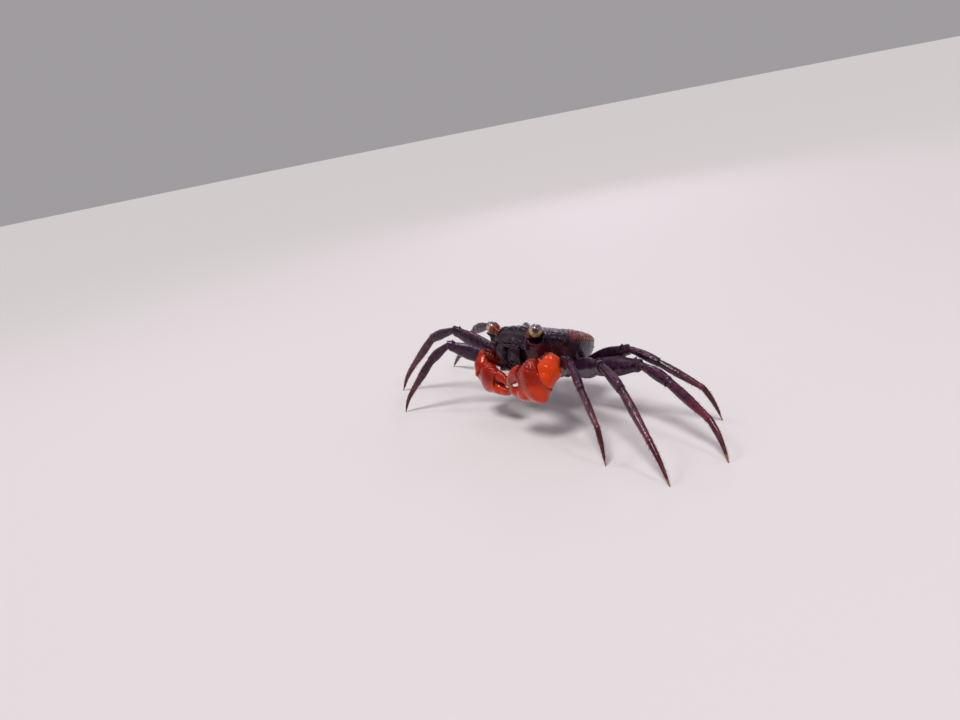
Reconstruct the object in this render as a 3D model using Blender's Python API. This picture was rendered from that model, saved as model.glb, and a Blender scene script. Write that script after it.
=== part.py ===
"""A vampire crab (Geosesarma), life size, standing on the tips of its eight walking legs.

The shapes are worked out in millimetres and turned to metres as each object is made.
Two frames are used. The shell frame has its origin in the middle of the carapace, +X to the crab's
left, -Y ahead and +Z up through its back. The ground frame has the same axes with Z = 0 on the floor,
and BODY_POSE carries the first into the second.
"""

import math

import bmesh
import bpy
from mathutils import Matrix, Vector

MM = 0.001

# Driving sizes, in millimetres. The carapace width sets all the others.
CARAPACE_WIDTH = 17.0
HALF_WIDTH = CARAPACE_WIDTH / 2
HALF_LENGTH = 0.435 * CARAPACE_WIDTH
MARGIN_HEIGHT = 0.124 * CARAPACE_WIDTH
MARGIN_SLOPE = 0.04
BACK_RISE = 0.09 * CARAPACE_WIDTH
BELLY_DROP = 0.365 * CARAPACE_WIDTH
REAR_TAPER = 0.2
WALL_LEAN = 0.2
SEAM_HEIGHT = -0.15 * CARAPACE_WIDTH
PLAN_ROUND = 0.42
BACK_ROUND = 0.78
BELLY_ROUND = 0.7
GAP = 0.3

# How the body is held: height of the shell's middle, nose up, left side up.
BODY_HEIGHT = 10.5
BODY_PITCH = 18.9
BODY_ROLL = 3.3

# The eye: centre of the cornea and root of its stalk, shell frame, left side.
EYE_RADIUS = 0.068 * CARAPACE_WIDTH
EYE_CENTRE = Vector((0.35, -0.405, 0.195)) * CARAPACE_WIDTH
STALK_ROOT = Vector((0.235, -0.385, 0.14)) * CARAPACE_WIDTH
STALK_RADIUS = 0.046 * CARAPACE_WIDTH
ORBIT_CENTRE = Vector((0.352, -0.43, 0.14)) * CARAPACE_WIDTH
ORBIT_RADII = Vector((0.105, 0.1, 0.085)) * CARAPACE_WIDTH

# The frontal plate that bends down between the eyes.
FRONT_HALF_WIDTH = 0.262 * CARAPACE_WIDTH
FRONT_PROFILE = ((-4.9, 3.4), (-5.8, 3.4), (-6.6, 3.05), (-7.3, 2.4), (-7.8, 1.7), (-8.0, 1.05))
FRONT_THICKNESS = 0.8
LOBE_RADII = Vector((1.1, 0.75, 0.5))
LOBE_CENTRES = (Vector((1.25, -5.9, 3.3)), Vector((3.4, -5.8, 3.15)))
HOLLOW_CENTRE = Vector((0.0, -8.5, 0.0))
HOLLOW_RADII = Vector((4.2, 1.6, 1.0))

# A feeler's root, bend and tip, shell frame, left side.
ANTENNA_PATH = (Vector((4.9, -7.75, 0.25)), Vector((5.9, -9.2, 0.7)), Vector((7.9, -10.3, 2.6)))

# Teeth of the side margin: root, tip and root radius, shell frame, left side.
MARGIN_TEETH = (
    (Vector((0.425, -0.335, 0.125)), Vector((0.459, -0.41, 0.138)), 0.85),
    (Vector((0.455, -0.25, 0.12)), Vector((0.5, -0.3, 0.13)), 0.8),
    (Vector((0.475, -0.185, 0.115)), Vector((0.512, -0.225, 0.124)), 0.7),
)

# The tail folded under the body: half widths of root and tip, its reach from the body's middle, and how
# far below the level its two ends lie, in degrees.
PLEON_ROOT_HALF = 3.0
PLEON_TIP_HALF = 0.8
PLEON_REACH = 7.0
PLEON_FALLS = (24, 118)
PLEON_JOINTS = 7

# Walking legs. Root: shell frame, left side. Lengths: merus with ischium, carpus, propodus, dactylus.
LEG_ROOTS = (
    Vector((6.4, -3.0, -3.2)),
    Vector((7.0, -0.4, -3.1)),
    Vector((6.8, 2.1, -2.8)),
    Vector((5.7, 4.4, -2.2)),
)
LEG_LENGTHS = (
    (11.5, 5.0, 7.1, 5.5),
    (15.0, 6.4, 9.6, 6.5),
    (14.4, 6.4, 9.5, 6.7),
    (12.5, 5.5, 7.9, 5.9),
)
LEG_STOUTNESS = (0.92, 1.0, 1.0, 0.9)
COXA_RADII = (1.15, 1.25, 1.25, 1.1)
COXA_LENGTH = 3.4
# Half widths and half heights at start, peak and end, where the peak lies, bow, sides and rings.
LEG_SHAPES = (
    ("merus", (0.68, 0.85, 0.66), (0.95, 1.55, 1.0), 0.6, 0.0, 12, 7),
    ("carpus", (0.54, 0.7, 0.64), (0.62, 0.95, 0.85), 0.7, 0.12, 10, 5),
    ("propodus", (0.56, 0.6, 0.44), (0.74, 0.8, 0.55), 0.35, 0.0, 10, 4),
)
DACTYLUS_RADII = (0.46, 0.16)
DACTYLUS_BOW = 0.3
# Heading from straight ahead, lean of the leg's plane, and rise of merus, carpus and propodus, in degrees.
# The dactylus takes the slope that brings its tip to the floor.
LEG_POSES = {
    "left": (
        (65, -1, 21, -40, -37),
        (70, -3, 16, -18, -36),
        (88, -24, 10, -15, -25),
        (95, 17, 21, -23, -30),
    ),
    "right": (
        (55, 2, 24, -34, -48),
        (75, -2, 24, -16, -42),
        (98, -5, 20, -14, -40),
        (122, 3, 14, -11, -34),
    ),
}

# Claw legs. Root: shell frame, left side. Elbow, wrist and finger tip: ground frame.
CLAW_ROOT = Vector((5.2, -5.2, -2.9))
CLAW_JOINTS = {
    "left": (Vector((12.4, -8.8, 12.8)), Vector((13.0, -11.0, 10.7)), Vector((5.4, -12.7, 8.8))),
    "right": (Vector((-7.1, -7.7, 11.1)), Vector((-6.7, -9.2, 8.1)), Vector((1.7, -9.5, 6.5))),
}
CLAW_SIZE = {"left": 0.97, "right": 0.74}
# How far the plane in which palm and carpus meet is turned square to the palm: 0.5 shares the bend equally.
WRIST_SHARE = {"left": 0.7, "right": 0.5}
CLAW_COXA_RADIUS = 1.35
# Half sizes of a claw leg's pieces at start, peak and end, and where the peak lies.
CLAW_MERUS_WIDTH = (1.1, 1.4, 1.1, 0.6)
CLAW_MERUS_HEIGHT = (1.1, 1.65, 1.4, 0.65)
CLAW_CARPUS_WIDTH = (1.2, 2.25, 1.75, 0.55)
CLAW_CARPUS_HEIGHT = (1.2, 2.15, 1.75, 0.55)
PALM_WIDTH = (1.2, 2.2, 1.75, 0.5)
PALM_HEIGHT = (3.1, 3.8, 2.8, 0.4)
PALM_SHARE = 0.55
# The two fingers: heights over the claw's axis at root and bend, and half heights and widths at root and tip.
FIXED_FINGER = (-1.75, -1.8, (1.5, 0.32), (1.25, 0.34))
UPPER_FINGER = (1.75, 2.1, (1.45, 0.3), (1.15, 0.32))
FINGER_TIP_RISE = 0.4
FINGER_TEETH = 6

# Where the rings of a round joint cap lie, from its rim to near its pole.
CAP_ANGLES = tuple(math.radians(a) for a in (78, 48))


def smooth_step(low, high, value):
    """0 below low, 1 above high, and a smooth rise between."""
    t = min(1.0, max(0.0, (value - low) / (high - low)))
    return t * t * (3 - 2 * t)


def bulge(t, start, peak, end, at=0.5):
    """A size along a piece that swells from start to peak and falls to end."""
    if t < at:
        return start + (peak - start) * (0.5 - 0.5 * math.cos(math.pi * max(t, 0.0) / at))
    return peak + (end - peak) * (0.5 - 0.5 * math.cos(math.pi * (min(t, 1.0) - at) / (1 - at)))


def mirrored(point, side):
    """A point of the crab's left side, or its twin on the right."""
    return Vector(point) if side == "left" else Vector((-point[0], point[1], point[2]))


def body_pose():
    """The matrix from the shell frame to the ground frame."""
    nose_up = Matrix.Rotation(math.radians(-BODY_PITCH), 4, "X")
    left_up = Matrix.Rotation(math.radians(-BODY_ROLL), 4, "Y")
    return Matrix.Translation((0, 0, BODY_HEIGHT)) @ left_up @ nose_up


BODY_POSE = body_pose()


# Meshes from bmesh

def loft(rings):
    """A closed body through rings of points, each end gathered to a point in its ring's middle."""
    bm = bmesh.new()
    made = [[bm.verts.new(p) for p in ring] for ring in rings]
    sides = len(rings[0])
    for low, high in zip(made, made[1:]):
        for k in range(sides):
            j = (k + 1) % sides
            bm.faces.new((low[k], low[j], high[j], high[k]))
    for ring, turned in ((made[0], True), (made[-1], False)):
        middle = bm.verts.new(sum((v.co for v in ring), Vector()) / sides)
        for k in range(sides):
            j = (k + 1) % sides
            corner = (ring[j], ring[k], middle) if turned else (ring[k], ring[j], middle)
            bm.faces.new(corner)
    bmesh.ops.recalc_face_normals(bm, faces=bm.faces)
    return bm


def trim(bm, point, keep_towards):
    """Cuts the body by a plane, keeps the side that keep_towards points to, and closes the cut."""
    geometry = [*bm.verts, *bm.edges, *bm.faces]
    cut = bmesh.ops.bisect_plane(
        bm, geom=geometry, dist=1e-6, plane_co=point, plane_no=keep_towards, clear_inner=True
    )
    edges = [e for e in cut["geom_cut"] if isinstance(e, bmesh.types.BMEdge)]
    bmesh.ops.holes_fill(bm, edges=edges)
    bmesh.ops.recalc_face_normals(bm, faces=bm.faces)


def ellipsoid(centre, radii, sides=12, rings=8):
    """A closed ellipsoid."""
    bm = bmesh.new()
    bmesh.ops.create_uvsphere(bm, u_segments=sides, v_segments=rings, radius=1.0)
    matrix = Matrix.Translation(centre) @ Matrix.Diagonal((*radii, 1.0))
    bmesh.ops.transform(bm, matrix=matrix, verts=bm.verts)
    return bm


def spine(root, tip, radius, sides=6):
    """A pointed tooth or spine whose root is sunk in what it grows from."""
    axis = tip - root
    bm = bmesh.new()
    bmesh.ops.create_cone(
        bm, cap_ends=True, segments=sides, radius1=radius, radius2=0.08 * radius, depth=axis.length
    )
    turn = axis.to_track_quat("Z", "Y").to_matrix().to_4x4()
    matrix = Matrix.Translation((root + tip) / 2) @ turn
    bmesh.ops.transform(bm, matrix=matrix, verts=bm.verts)
    return bm


# Objects and Booleans

def new_object(name, bm, material=None):
    """An object from a bmesh, still in millimetres."""
    mesh = bpy.data.meshes.new(name)
    bm.to_mesh(mesh)
    bm.free()
    obj = bpy.data.objects.new(name, mesh)
    bpy.context.scene.collection.objects.link(obj)
    if material:
        mesh.materials.append(material)
    return obj


def boolean(obj, bodies, operation):
    """Applies one Boolean of obj with the bodies, given as bmeshes, and keeps the largest closed surface."""
    if not bodies:
        return obj
    tools = bpy.data.collections.new("tools")
    for number, bm in enumerate(bodies):
        tool = new_object(f"tool_{number}", bm)
        bpy.context.scene.collection.objects.unlink(tool)
        tools.objects.link(tool)
    modifier = obj.modifiers.new(operation.lower(), "BOOLEAN")
    modifier.operation = operation
    modifier.operand_type = "COLLECTION"
    modifier.collection = tools
    modifier.solver = "EXACT"
    graph = bpy.context.evaluated_depsgraph_get()
    joined = bpy.data.meshes.new_from_object(obj.evaluated_get(graph))
    obj.modifiers.clear()
    obj.data = joined
    for tool in list(tools.objects):
        bpy.data.objects.remove(tool)
    bpy.data.collections.remove(tools)
    keep_largest(joined)
    return obj


def keep_largest(mesh):
    """Drops every loose scrap and keeps the surface with the most faces."""
    bm = bmesh.new()
    bm.from_mesh(mesh)
    bmesh.ops.remove_doubles(bm, verts=bm.verts, dist=1e-4)
    left = set(bm.faces)
    groups = []
    while left:
        todo = [left.pop()]
        group = []
        while todo:
            face = todo.pop()
            group.append(face)
            for edge in face.edges:
                for other in edge.link_faces:
                    if other in left:
                        left.remove(other)
                        todo.append(other)
        groups.append(group)
    groups.sort(key=len)
    scraps = [face for group in groups[:-1] for face in group]
    bmesh.ops.delete(bm, geom=scraps, context="FACES")
    bm.to_mesh(mesh)
    bm.free()


def place(obj, joint, crab):
    """Turns the mesh to metres, sets the object's origin on its joint and parents it to the crab's empty."""
    obj.data.transform(Matrix.Scale(MM, 4) @ Matrix.Translation(-joint))
    obj.location = joint * MM
    obj.parent = crab
    obj.data.shade_smooth()
    obj.data.set_sharp_from_angle(angle=math.radians(40))
    return obj


def paint(name, colour, roughness):
    """A Principled material, colour given as linear RGB."""
    material = bpy.data.materials.new(name)
    material.use_nodes = True
    shader = material.node_tree.nodes["Principled BSDF"]
    shader.inputs["Base Color"].default_value = (*colour, 1.0)
    shader.inputs["Roughness"].default_value = roughness
    shader.inputs["Metallic"].default_value = 0.0
    return material


# The cephalothorax

def shell_point(direction, swell=0.0):
    """The point of the body's surface that lies in a direction from its middle, shell frame."""
    d = Vector(direction).normalized()
    rise = BACK_RISE if d.z > 0 else BELLY_DROP
    vertical = BACK_ROUND if d.z > 0 else BELLY_ROUND
    plan = abs(d.x / HALF_WIDTH) ** (2 / PLAN_ROUND) + abs(d.y / HALF_LENGTH) ** (2 / PLAN_ROUND)
    reach = plan ** (PLAN_ROUND / vertical) + abs(d.z / rise) ** (2 / vertical)
    p = d * (reach ** (-vertical / 2) + swell)
    p.x *= 1 - REAR_TAPER * smooth_step(0.0, HALF_LENGTH, p.y)
    p.x *= 1 - WALL_LEAN * smooth_step(0.0, BELLY_DROP, -p.z)
    p.z -= 0.35 * smooth_step(0.45 * HALF_LENGTH, HALF_LENGTH, -p.y) * (p.z > 0)
    p.z += MARGIN_HEIGHT - MARGIN_SLOPE * p.y
    return p


def back_relief(p):
    """How far the back stands proud at a point: the branchial swellings and the grooves between."""
    if p.z < MARGIN_HEIGHT:
        return 0.0
    x, y = abs(p.x), p.y
    branchial = 0.28 * math.exp(-((x - 5.2) / 2.2) ** 2 - ((y - 0.6) / 4.2) ** 2)
    gastric = 0.22 * math.exp(-(x / 2.6) ** 2 - ((y + 3.0) / 2.0) ** 2)
    cervical = -0.3 * math.exp(-((y + 0.6 - 0.35 * (x - 2.6)) / 0.75) ** 2) * smooth_step(6.5, 3.0, x)
    sides = -0.25 * math.exp(-((x - 2.7) / 0.6) ** 2 - ((y - 2.6) / 2.6) ** 2)
    return branchial + gastric + cervical + sides


def body_blank(cuts, swell=0.0):
    """The whole cephalothorax as one closed body: a divided cube pressed into the body's form."""
    bm = bmesh.new()
    bmesh.ops.create_cube(bm, size=2.0)
    bmesh.ops.subdivide_edges(bm, edges=bm.edges, cuts=cuts, use_grid_fill=True)
    for vertex in bm.verts:
        p = shell_point(vertex.co, swell)
        p.z += back_relief(p)
        vertex.co = p
    bmesh.ops.recalc_face_normals(bm, faces=bm.faces)
    return bm


def front_plate():
    """The frontal plate: bent down between the eyes, its free edge in two low rounded lobes."""
    across = 14
    rings = []
    for i in range(across + 1):
        u = -1 + 2 * i / across
        ring = []
        for j, (y, z) in enumerate(FRONT_PROFILE):
            v = j / (len(FRONT_PROFILE) - 1)
            wave = 0.3 * (0.5 - 0.5 * math.cos(2 * math.pi * min(1.0, abs(u)))) * v
            ring.append(Vector((u * FRONT_HALF_WIDTH, y + (0.2 + 0.4 * v) * u * u, z - wave - 0.25 * u * u)))
        inner = [p + Vector((0, 0.55, -0.83)) * FRONT_THICKNESS for p in reversed(ring)]
        rings.append(ring + inner)
    return loft(rings)


def front_lobes():
    """The four low lobes in a row behind the frontal plate."""
    return [ellipsoid(mirrored(centre, side), LOBE_RADII, 12, 8)
            for centre in LOBE_CENTRES for side in ("left", "right")]


def margin_teeth():
    """The tooth behind each eye and the two smaller ones along the side margin."""
    teeth = []
    for root, tip, radius in MARGIN_TEETH:
        for side in ("left", "right"):
            ends = [mirrored(p * CARAPACE_WIDTH, side) for p in (root, tip)]
            teeth.append(spine(*ends, radius))
    return teeth


def limb_directions(side, number):
    """Root point and unit directions of a walking leg's four pieces, ground frame, with their lengths."""
    heading, lean, *rises = LEG_POSES[side][number]
    root = BODY_POSE @ mirrored(LEG_ROOTS[number], side)
    turn = math.radians(heading)
    out = mirrored((math.sin(turn), -math.cos(turn), 0.0), side)
    across = mirrored(Vector((math.sin(turn), -math.cos(turn), 0.0)).cross(Vector((0, 0, 1))), side)
    up = Vector((0, 0, 1)) * math.cos(math.radians(lean)) + across * math.sin(math.radians(lean))
    lengths = LEG_LENGTHS[number]
    joints = [root]
    for length, rise in zip(lengths, rises):
        slope = math.radians(rise)
        joints.append(joints[-1] + (out * math.cos(slope) + up * math.sin(slope)) * length)
    slope = math.asin(min(0.97, joints[-1].z / (lengths[3] * up.z)))
    joints.append(joints[-1] + (out * math.cos(slope) - up * math.sin(slope)) * lengths[3])
    return joints, up


def claw_joints(side):
    """Root, elbow, wrist and finger tip of a claw leg, ground frame."""
    return [BODY_POSE @ mirrored(CLAW_ROOT, side), *CLAW_JOINTS[side]]


def root_level(joint, following):
    """The nearly level direction in which a limb's root piece runs out to its first joint."""
    axis = (following - joint).normalized()
    return Vector((axis.x, axis.y, 0.15)).normalized()


def coxae(grow=0.0):
    """The short root pieces of all ten limbs, running out from the thorax to each limb's first joint."""
    pieces = []
    for side in ("left", "right"):
        ends = [limb_directions(side, number)[0][:2] for number in range(4)]
        ends.append(claw_joints(side)[:2])
        for (joint, following), radius in zip(ends, (*COXA_RADII, CLAW_COXA_RADIUS)):
            level = root_level(joint, following)
            inner = joint - level * (COXA_LENGTH + grow)
            bm = segment(inner, joint, Vector((0, 0, 1)), lambda t: radius + grow, lambda t: radius + grow, 10, 3)
            normal = (level + (following - joint).normalized()).normalized()
            trim(bm, joint - normal * (GAP / 2 - grow), -normal)
            pieces.append(bm)
    return pieces


def segment(start, end, up, half_width, half_height, sides, count, arch=0.0):
    """A limb piece as a loft along its axis, with a round cap past each joint that planes then trim.

    half_width and half_height are functions of the share of the length. arch bows the piece towards up.
    """
    axis = end - start
    length = axis.length
    axis = axis.normalized()
    side = axis.cross(up).normalized()
    top = side.cross(axis)
    stations = [(-math.sin(a) * half_height(0.0) / length, math.cos(a)) for a in CAP_ANGLES]
    stations += [(i / (count - 1), 1.0) for i in range(count)]
    stations += [(1 + math.sin(a) * half_height(1.0) / length, math.cos(a)) for a in reversed(CAP_ANGLES)]
    rings = []
    for t, shrink in stations:
        inside = min(1.0, max(0.0, t))
        centre = start + axis * (length * t) + top * (arch * math.sin(math.pi * inside))
        ring = []
        for k in range(sides):
            angle = 2 * math.pi * (k + 0.5) / sides
            across = half_width(inside) * shrink * math.cos(angle)
            upward = half_height(inside) * shrink * math.sin(angle)
            ring.append(centre + side * across + top * upward)
        rings.append(ring)
    return loft(rings)


def between(before, here, after, share=0.5):
    """Normal of the plane in which two pieces of a limb meet, with the share that the second one has in it."""
    return (here - before).normalized().lerp((after - here).normalized(), share).normalized()


def carapace(shell_paint):
    """The upper shell down to the seam above the legs, with front, lobes, teeth and eye sockets."""
    blank = body_blank(cuts=13)
    trim(blank, Vector((0, 0, SEAM_HEIGHT + GAP / 2)), Vector((0, 0, 1)))
    obj = new_object("carapace", blank, shell_paint)
    boolean(obj, [front_plate(), *front_lobes(), *margin_teeth()], "UNION")
    hollows = [ellipsoid(HOLLOW_CENTRE, HOLLOW_RADII, 16, 10)]
    for side in ("left", "right"):
        hollows.append(ellipsoid(mirrored(ORBIT_CENTRE, side), ORBIT_RADII, 14, 10))
        hollows.append(ellipsoid(mirrored(EYE_CENTRE, side), (EYE_RADIUS + GAP,) * 3, 16, 12))
        hollows.append(stalk_body(side, GAP))
    boolean(obj, hollows, "DIFFERENCE")
    obj.data.transform(BODY_POSE)
    boolean(obj, coxae(grow=GAP), "DIFFERENCE")
    return obj


def thorax(shell_paint):
    """The under body below the seam, with the root pieces of all ten limbs."""
    blank = body_blank(cuts=9)
    trim(blank, Vector((0, 0, SEAM_HEIGHT - GAP / 2)), Vector((0, 0, -1)))
    obj = new_object("thorax", blank, shell_paint)
    obj.data.transform(BODY_POSE)
    return boolean(obj, coxae(), "UNION")


def plate_on_body(outline, rows, inner, outer):
    """A plate that lies along the body: outline(u, v) gives points that are moved onto it, u in -1..1."""
    across = 8
    rings = []
    for j in range(rows + 1):
        v = j / rows
        low, high = [], []
        for i in range(across + 1):
            u = -1 + 2 * i / across
            direction = outline(u, v) - Vector((0, 0, MARGIN_HEIGHT))
            low.append(shell_point(direction, inner))
            high.append(shell_point(direction, outer(u, v)))
        rings.append(low + high[::-1])
    return loft(rings)


def pleon_outline(u, v):
    """The plan of the tail: v runs from its root on the rear wall to its tip under the thorax."""
    half = PLEON_TIP_HALF + (PLEON_ROOT_HALF - PLEON_TIP_HALF) * math.sqrt(1 - v)
    fall = math.radians(PLEON_FALLS[0] + (PLEON_FALLS[1] - PLEON_FALLS[0]) * v)
    return Vector((u * half, PLEON_REACH * math.cos(fall), MARGIN_HEIGHT - PLEON_REACH * math.sin(fall)))


def pleon(shell_paint):
    """The narrow tail folded flat against the rear wall and the thorax, in joints that taper to its tip."""
    def outer(u, v):
        ribs = 0.12 * abs(math.sin(PLEON_JOINTS * math.pi * v))
        return GAP + 0.65 + ribs - 0.25 * u * u

    bm = plate_on_body(pleon_outline, 2 * PLEON_JOINTS, GAP + 0.1, outer)
    obj = new_object("pleon", bm, shell_paint)
    obj.data.transform(BODY_POSE)
    return obj


def maxilliped(side, shell_paint):
    """One third maxilliped: a long domed plate, grooved where the ischium below meets the merus."""
    def outline(u, v):
        rise = math.cos(math.pi * (0.04 + 0.92 * v))
        half = (1.3 - 0.25 * v) * (1 - abs(rise) ** 4) ** 0.25
        return mirrored((1.75 - 0.25 * v + u * half, -7.3 + 1.1 * v, -2.3 + 2.6 * rise), side)

    def outer(u, v):
        dome = 0.55 * math.sqrt(max(0.0, 1 - u * u)) * math.sin(math.pi * v) ** 0.5
        return GAP + 0.65 + dome - 0.3 * math.exp(-(((v - 0.45) / 0.06) ** 2))

    obj = new_object(f"maxilliped_{side}", plate_on_body(outline, 14, GAP + 0.2, outer), shell_paint)
    obj.data.transform(BODY_POSE)
    return obj


def stalk_body(side, grow=0.0):
    """An eyestalk, or the pocket that clears it when it is grown."""
    root, centre = (mirrored(p, side) for p in (STALK_ROOT, EYE_CENTRE))
    axis = (centre - root).normalized()
    bm = segment(root, centre, Vector((0, 0, 1)), lambda t: STALK_RADIUS * (1 + 0.3 * t) + grow,
                 lambda t: STALK_RADIUS * (1 + 0.3 * t) + grow, 12, 3)
    trim(bm, root - axis * grow, axis)
    return bm


def eye(side, stalk_paint, cornea_paint):
    """The eyestalk, and the cornea that caps it, with a thin gap between."""
    root, centre = (mirrored(p, side) for p in (STALK_ROOT, EYE_CENTRE))
    axis = (centre - root).normalized()
    seam = centre - axis * (0.45 * EYE_RADIUS)
    stalk = stalk_body(side)
    trim(stalk, seam - axis * (GAP / 2), -axis)
    cap = ellipsoid(centre, (EYE_RADIUS,) * 3, 16, 12)
    trim(cap, seam + axis * (GAP / 2), axis)
    made = [new_object(f"eyestalk_{side}", stalk, stalk_paint), new_object(f"eye_{side}", cap, cornea_paint)]
    for obj in made:
        obj.data.transform(BODY_POSE)
    return made


def antenna(side, shell_paint):
    """A feeler: a stout root joint beside the front and a thin whip that bends outwards."""
    root, bend, tip = ANTENNA_PATH
    rings = []
    count, sides = 9, 6
    for i in range(count):
        t = i / (count - 1)
        centre = root * (1 - t) ** 2 + bend * (2 * t * (1 - t)) + tip * t ** 2
        axis = ((bend - root) * (1 - t) + (tip - bend) * t).normalized()
        across = axis.cross(Vector((0, 0, 1))).normalized()
        lift = across.cross(axis)
        radius = 0.42 - 0.17 * smooth_step(0.1, 0.45, t) - 0.12 * t
        rings.append([mirrored(centre + (across * math.cos(a) + lift * math.sin(a)) * radius, side)
                      for a in (2 * math.pi * k / sides for k in range(sides))])
    obj = new_object(f"antenna_{side}", loft(rings), shell_paint)
    obj.data.transform(BODY_POSE)
    return obj


def walking_leg(side, number, leg_paint, tip_paint):
    """The four pieces of a walking leg, each with the joint that it turns on."""
    joints, up = limb_directions(side, number)
    stout = LEG_STOUTNESS[number]
    name = f"leg_{side}_{number + 1}"
    first = joints[0] - root_level(*joints[:2])
    normals = [between(*trio) for trio in zip((first, *joints), joints, joints[1:])]
    made = []
    for k, (part, widths, heights, at, arch, sides, count) in enumerate(LEG_SHAPES):
        bm = segment(joints[k], joints[k + 1], up,
                     lambda t: stout * bulge(t, *widths, at), lambda t: stout * bulge(t, *heights, at),
                     sides, count, arch)
        trim(bm, joints[k] + normals[k] * (GAP / 2), normals[k])
        trim(bm, joints[k + 1] - normals[k + 1] * (GAP / 2), -normals[k + 1])
        obj = new_object(f"{name}_{part}", bm, leg_paint)
        if part == "merus":
            boolean(obj, [merus_spine(joints[0], joints[1], up, stout)], "UNION")
            boolean(obj, [swollen_body()], "DIFFERENCE")
        made.append((obj, joints[k]))
    made.append((dactylus(f"{name}_dactylus", joints[3], joints[4], up, stout, normals[3], tip_paint), joints[3]))
    return made


def merus_spine(start, end, up, stout):
    """The sharp spine on the upper edge of a merus, just short of the knee."""
    axis = (end - start).normalized()
    top = axis.cross(up).normalized().cross(axis)
    root = start.lerp(end, 0.86) + top * (0.45 * stout)
    return spine(root, root + axis * 1.15 + top * (0.95 * stout), 0.45)


def dactylus(name, joint, tip, up, stout, normal, tip_paint):
    """The last piece of a leg: a slim curved claw that stands on a small flat at the floor."""
    axis = (tip - joint).normalized()
    length = (tip - joint).length
    side = axis.cross(up).normalized()
    top = side.cross(axis)
    count, sides = 8, 8
    rings = []
    thick, thin = DACTYLUS_RADII
    for i in range(count):
        t = -0.12 + 1.2 * i / (count - 1)
        centre = joint + axis * (length * t) + top * (DACTYLUS_BOW * math.sin(math.pi * min(1.0, max(0.0, t))))
        radius = stout * (thick - (thick - thin) * smooth_step(0.0, 1.1, t))
        rings.append([centre + (side * math.cos(a) + top * 1.15 * math.sin(a)) * radius
                      for a in (2 * math.pi * (k + 0.5) / sides for k in range(sides))])
    bm = loft(rings)
    trim(bm, joint + normal * (GAP / 2), normal)
    trim(bm, Vector((0, 0, 0)), Vector((0, 0, 1)))
    return new_object(name, bm, tip_paint)


def swollen_body():
    """The body grown by the gap, in the ground frame, used to keep limb roots clear of it."""
    bm = body_blank(cuts=9, swell=GAP)
    bmesh.ops.transform(bm, matrix=BODY_POSE, verts=bm.verts)
    return bm


def claw_frame(side):
    """Axis along the claw, direction of its upper edge, and direction its outer face looks."""
    _, _, wrist, tip = claw_joints(side)
    axis = (tip - wrist).normalized()
    outer = Vector((0, -1, 0.0))
    outer = (outer - axis * outer.dot(axis)).normalized()
    top = axis.cross(outer) if side == "left" else outer.cross(axis)
    return axis, top.normalized(), outer


def finger_path(shape, length, size, first, last):
    """Three (along, up) points of a finger's middle line, from where it starts to its tip."""
    root_rise, bend_rise = shape[:2]
    tip_rise = math.copysign(FINGER_TIP_RISE, root_rise)
    return (first, root_rise * size), (0.52 * length, bend_rise * size), (last, tip_rise)


def finger_half(sizes, size, t):
    """Half the height or width of a finger at a share of its length: full at first, then tapered."""
    root, tip = sizes
    return tip + (root * size - tip) * (1 - t) ** 0.75


def finger(start, axis, top, outer, path, shape, size, count=9, sides=10):
    """A curved, tapered finger along a three-point path of (along, up) from its root to its tip."""
    rings = []
    for i in range(count):
        t = i / (count - 1)
        along, rise = (a * (1 - t) ** 2 + b * 2 * t * (1 - t) + c * t * t for a, b, c in zip(*path))
        slope_along, slope_rise = ((b - a) * (1 - t) + (c - b) * t for a, b, c in zip(*path))
        way = (axis * slope_along + top * slope_rise).normalized()
        lift = outer.cross(way).normalized()
        if lift.dot(top) < 0:
            lift = -lift
        shrink = max(0.3, math.sqrt(1 - t ** 6))
        high = finger_half(shape[2], size, t) * shrink
        wide = finger_half(shape[3], size, t) * shrink
        centre = start + axis * along + top * rise
        rings.append([centre + lift * high * math.sin(a) + outer * wide * math.cos(a)
                      for a in (2 * math.pi * (k + 0.5) / sides for k in range(sides))])
    return loft(rings)


def claw(side, claw_paint, finger_paint):
    """The palm with its fixed finger, and the movable finger above it."""
    _, elbow, wrist, tip = claw_joints(side)
    size = CLAW_SIZE[side]
    axis, top, outer = claw_frame(side)
    reach = (tip - wrist).length
    base = wrist + axis * (PALM_SHARE * reach)
    length = (1 - PALM_SHARE) * reach
    palm = segment(wrist, base, top, lambda t: size * bulge(t, *PALM_WIDTH), lambda t: size * bulge(t, *PALM_HEIGHT),
                   16, 9)
    normal = between(elbow, wrist, tip, WRIST_SHARE[side])
    trim(palm, wrist + normal * (GAP / 2), normal)
    trim(palm, base, -axis)
    path = finger_path(FIXED_FINGER, length, size, -1.2, length)
    fixed = finger(base, axis, top, outer, path, FIXED_FINGER, size)
    palm_obj = new_object(f"claw_{side}_palm", palm, claw_paint)
    boolean(palm_obj, [fixed, *finger_teeth(base, axis, top, path, FIXED_FINGER, size, 1)], "UNION")
    path = finger_path(UPPER_FINGER, length, size, GAP, length + 0.2)
    upper = finger(base, axis, top, outer, path, UPPER_FINGER, size)
    trim(upper, base + axis * GAP, axis)
    upper_obj = new_object(f"claw_{side}_finger", upper, finger_paint)
    boolean(upper_obj, finger_teeth(base, axis, top, path, UPPER_FINGER, size, -1), "UNION")
    return [(palm_obj, wrist), (upper_obj, base + axis * GAP)]


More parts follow.
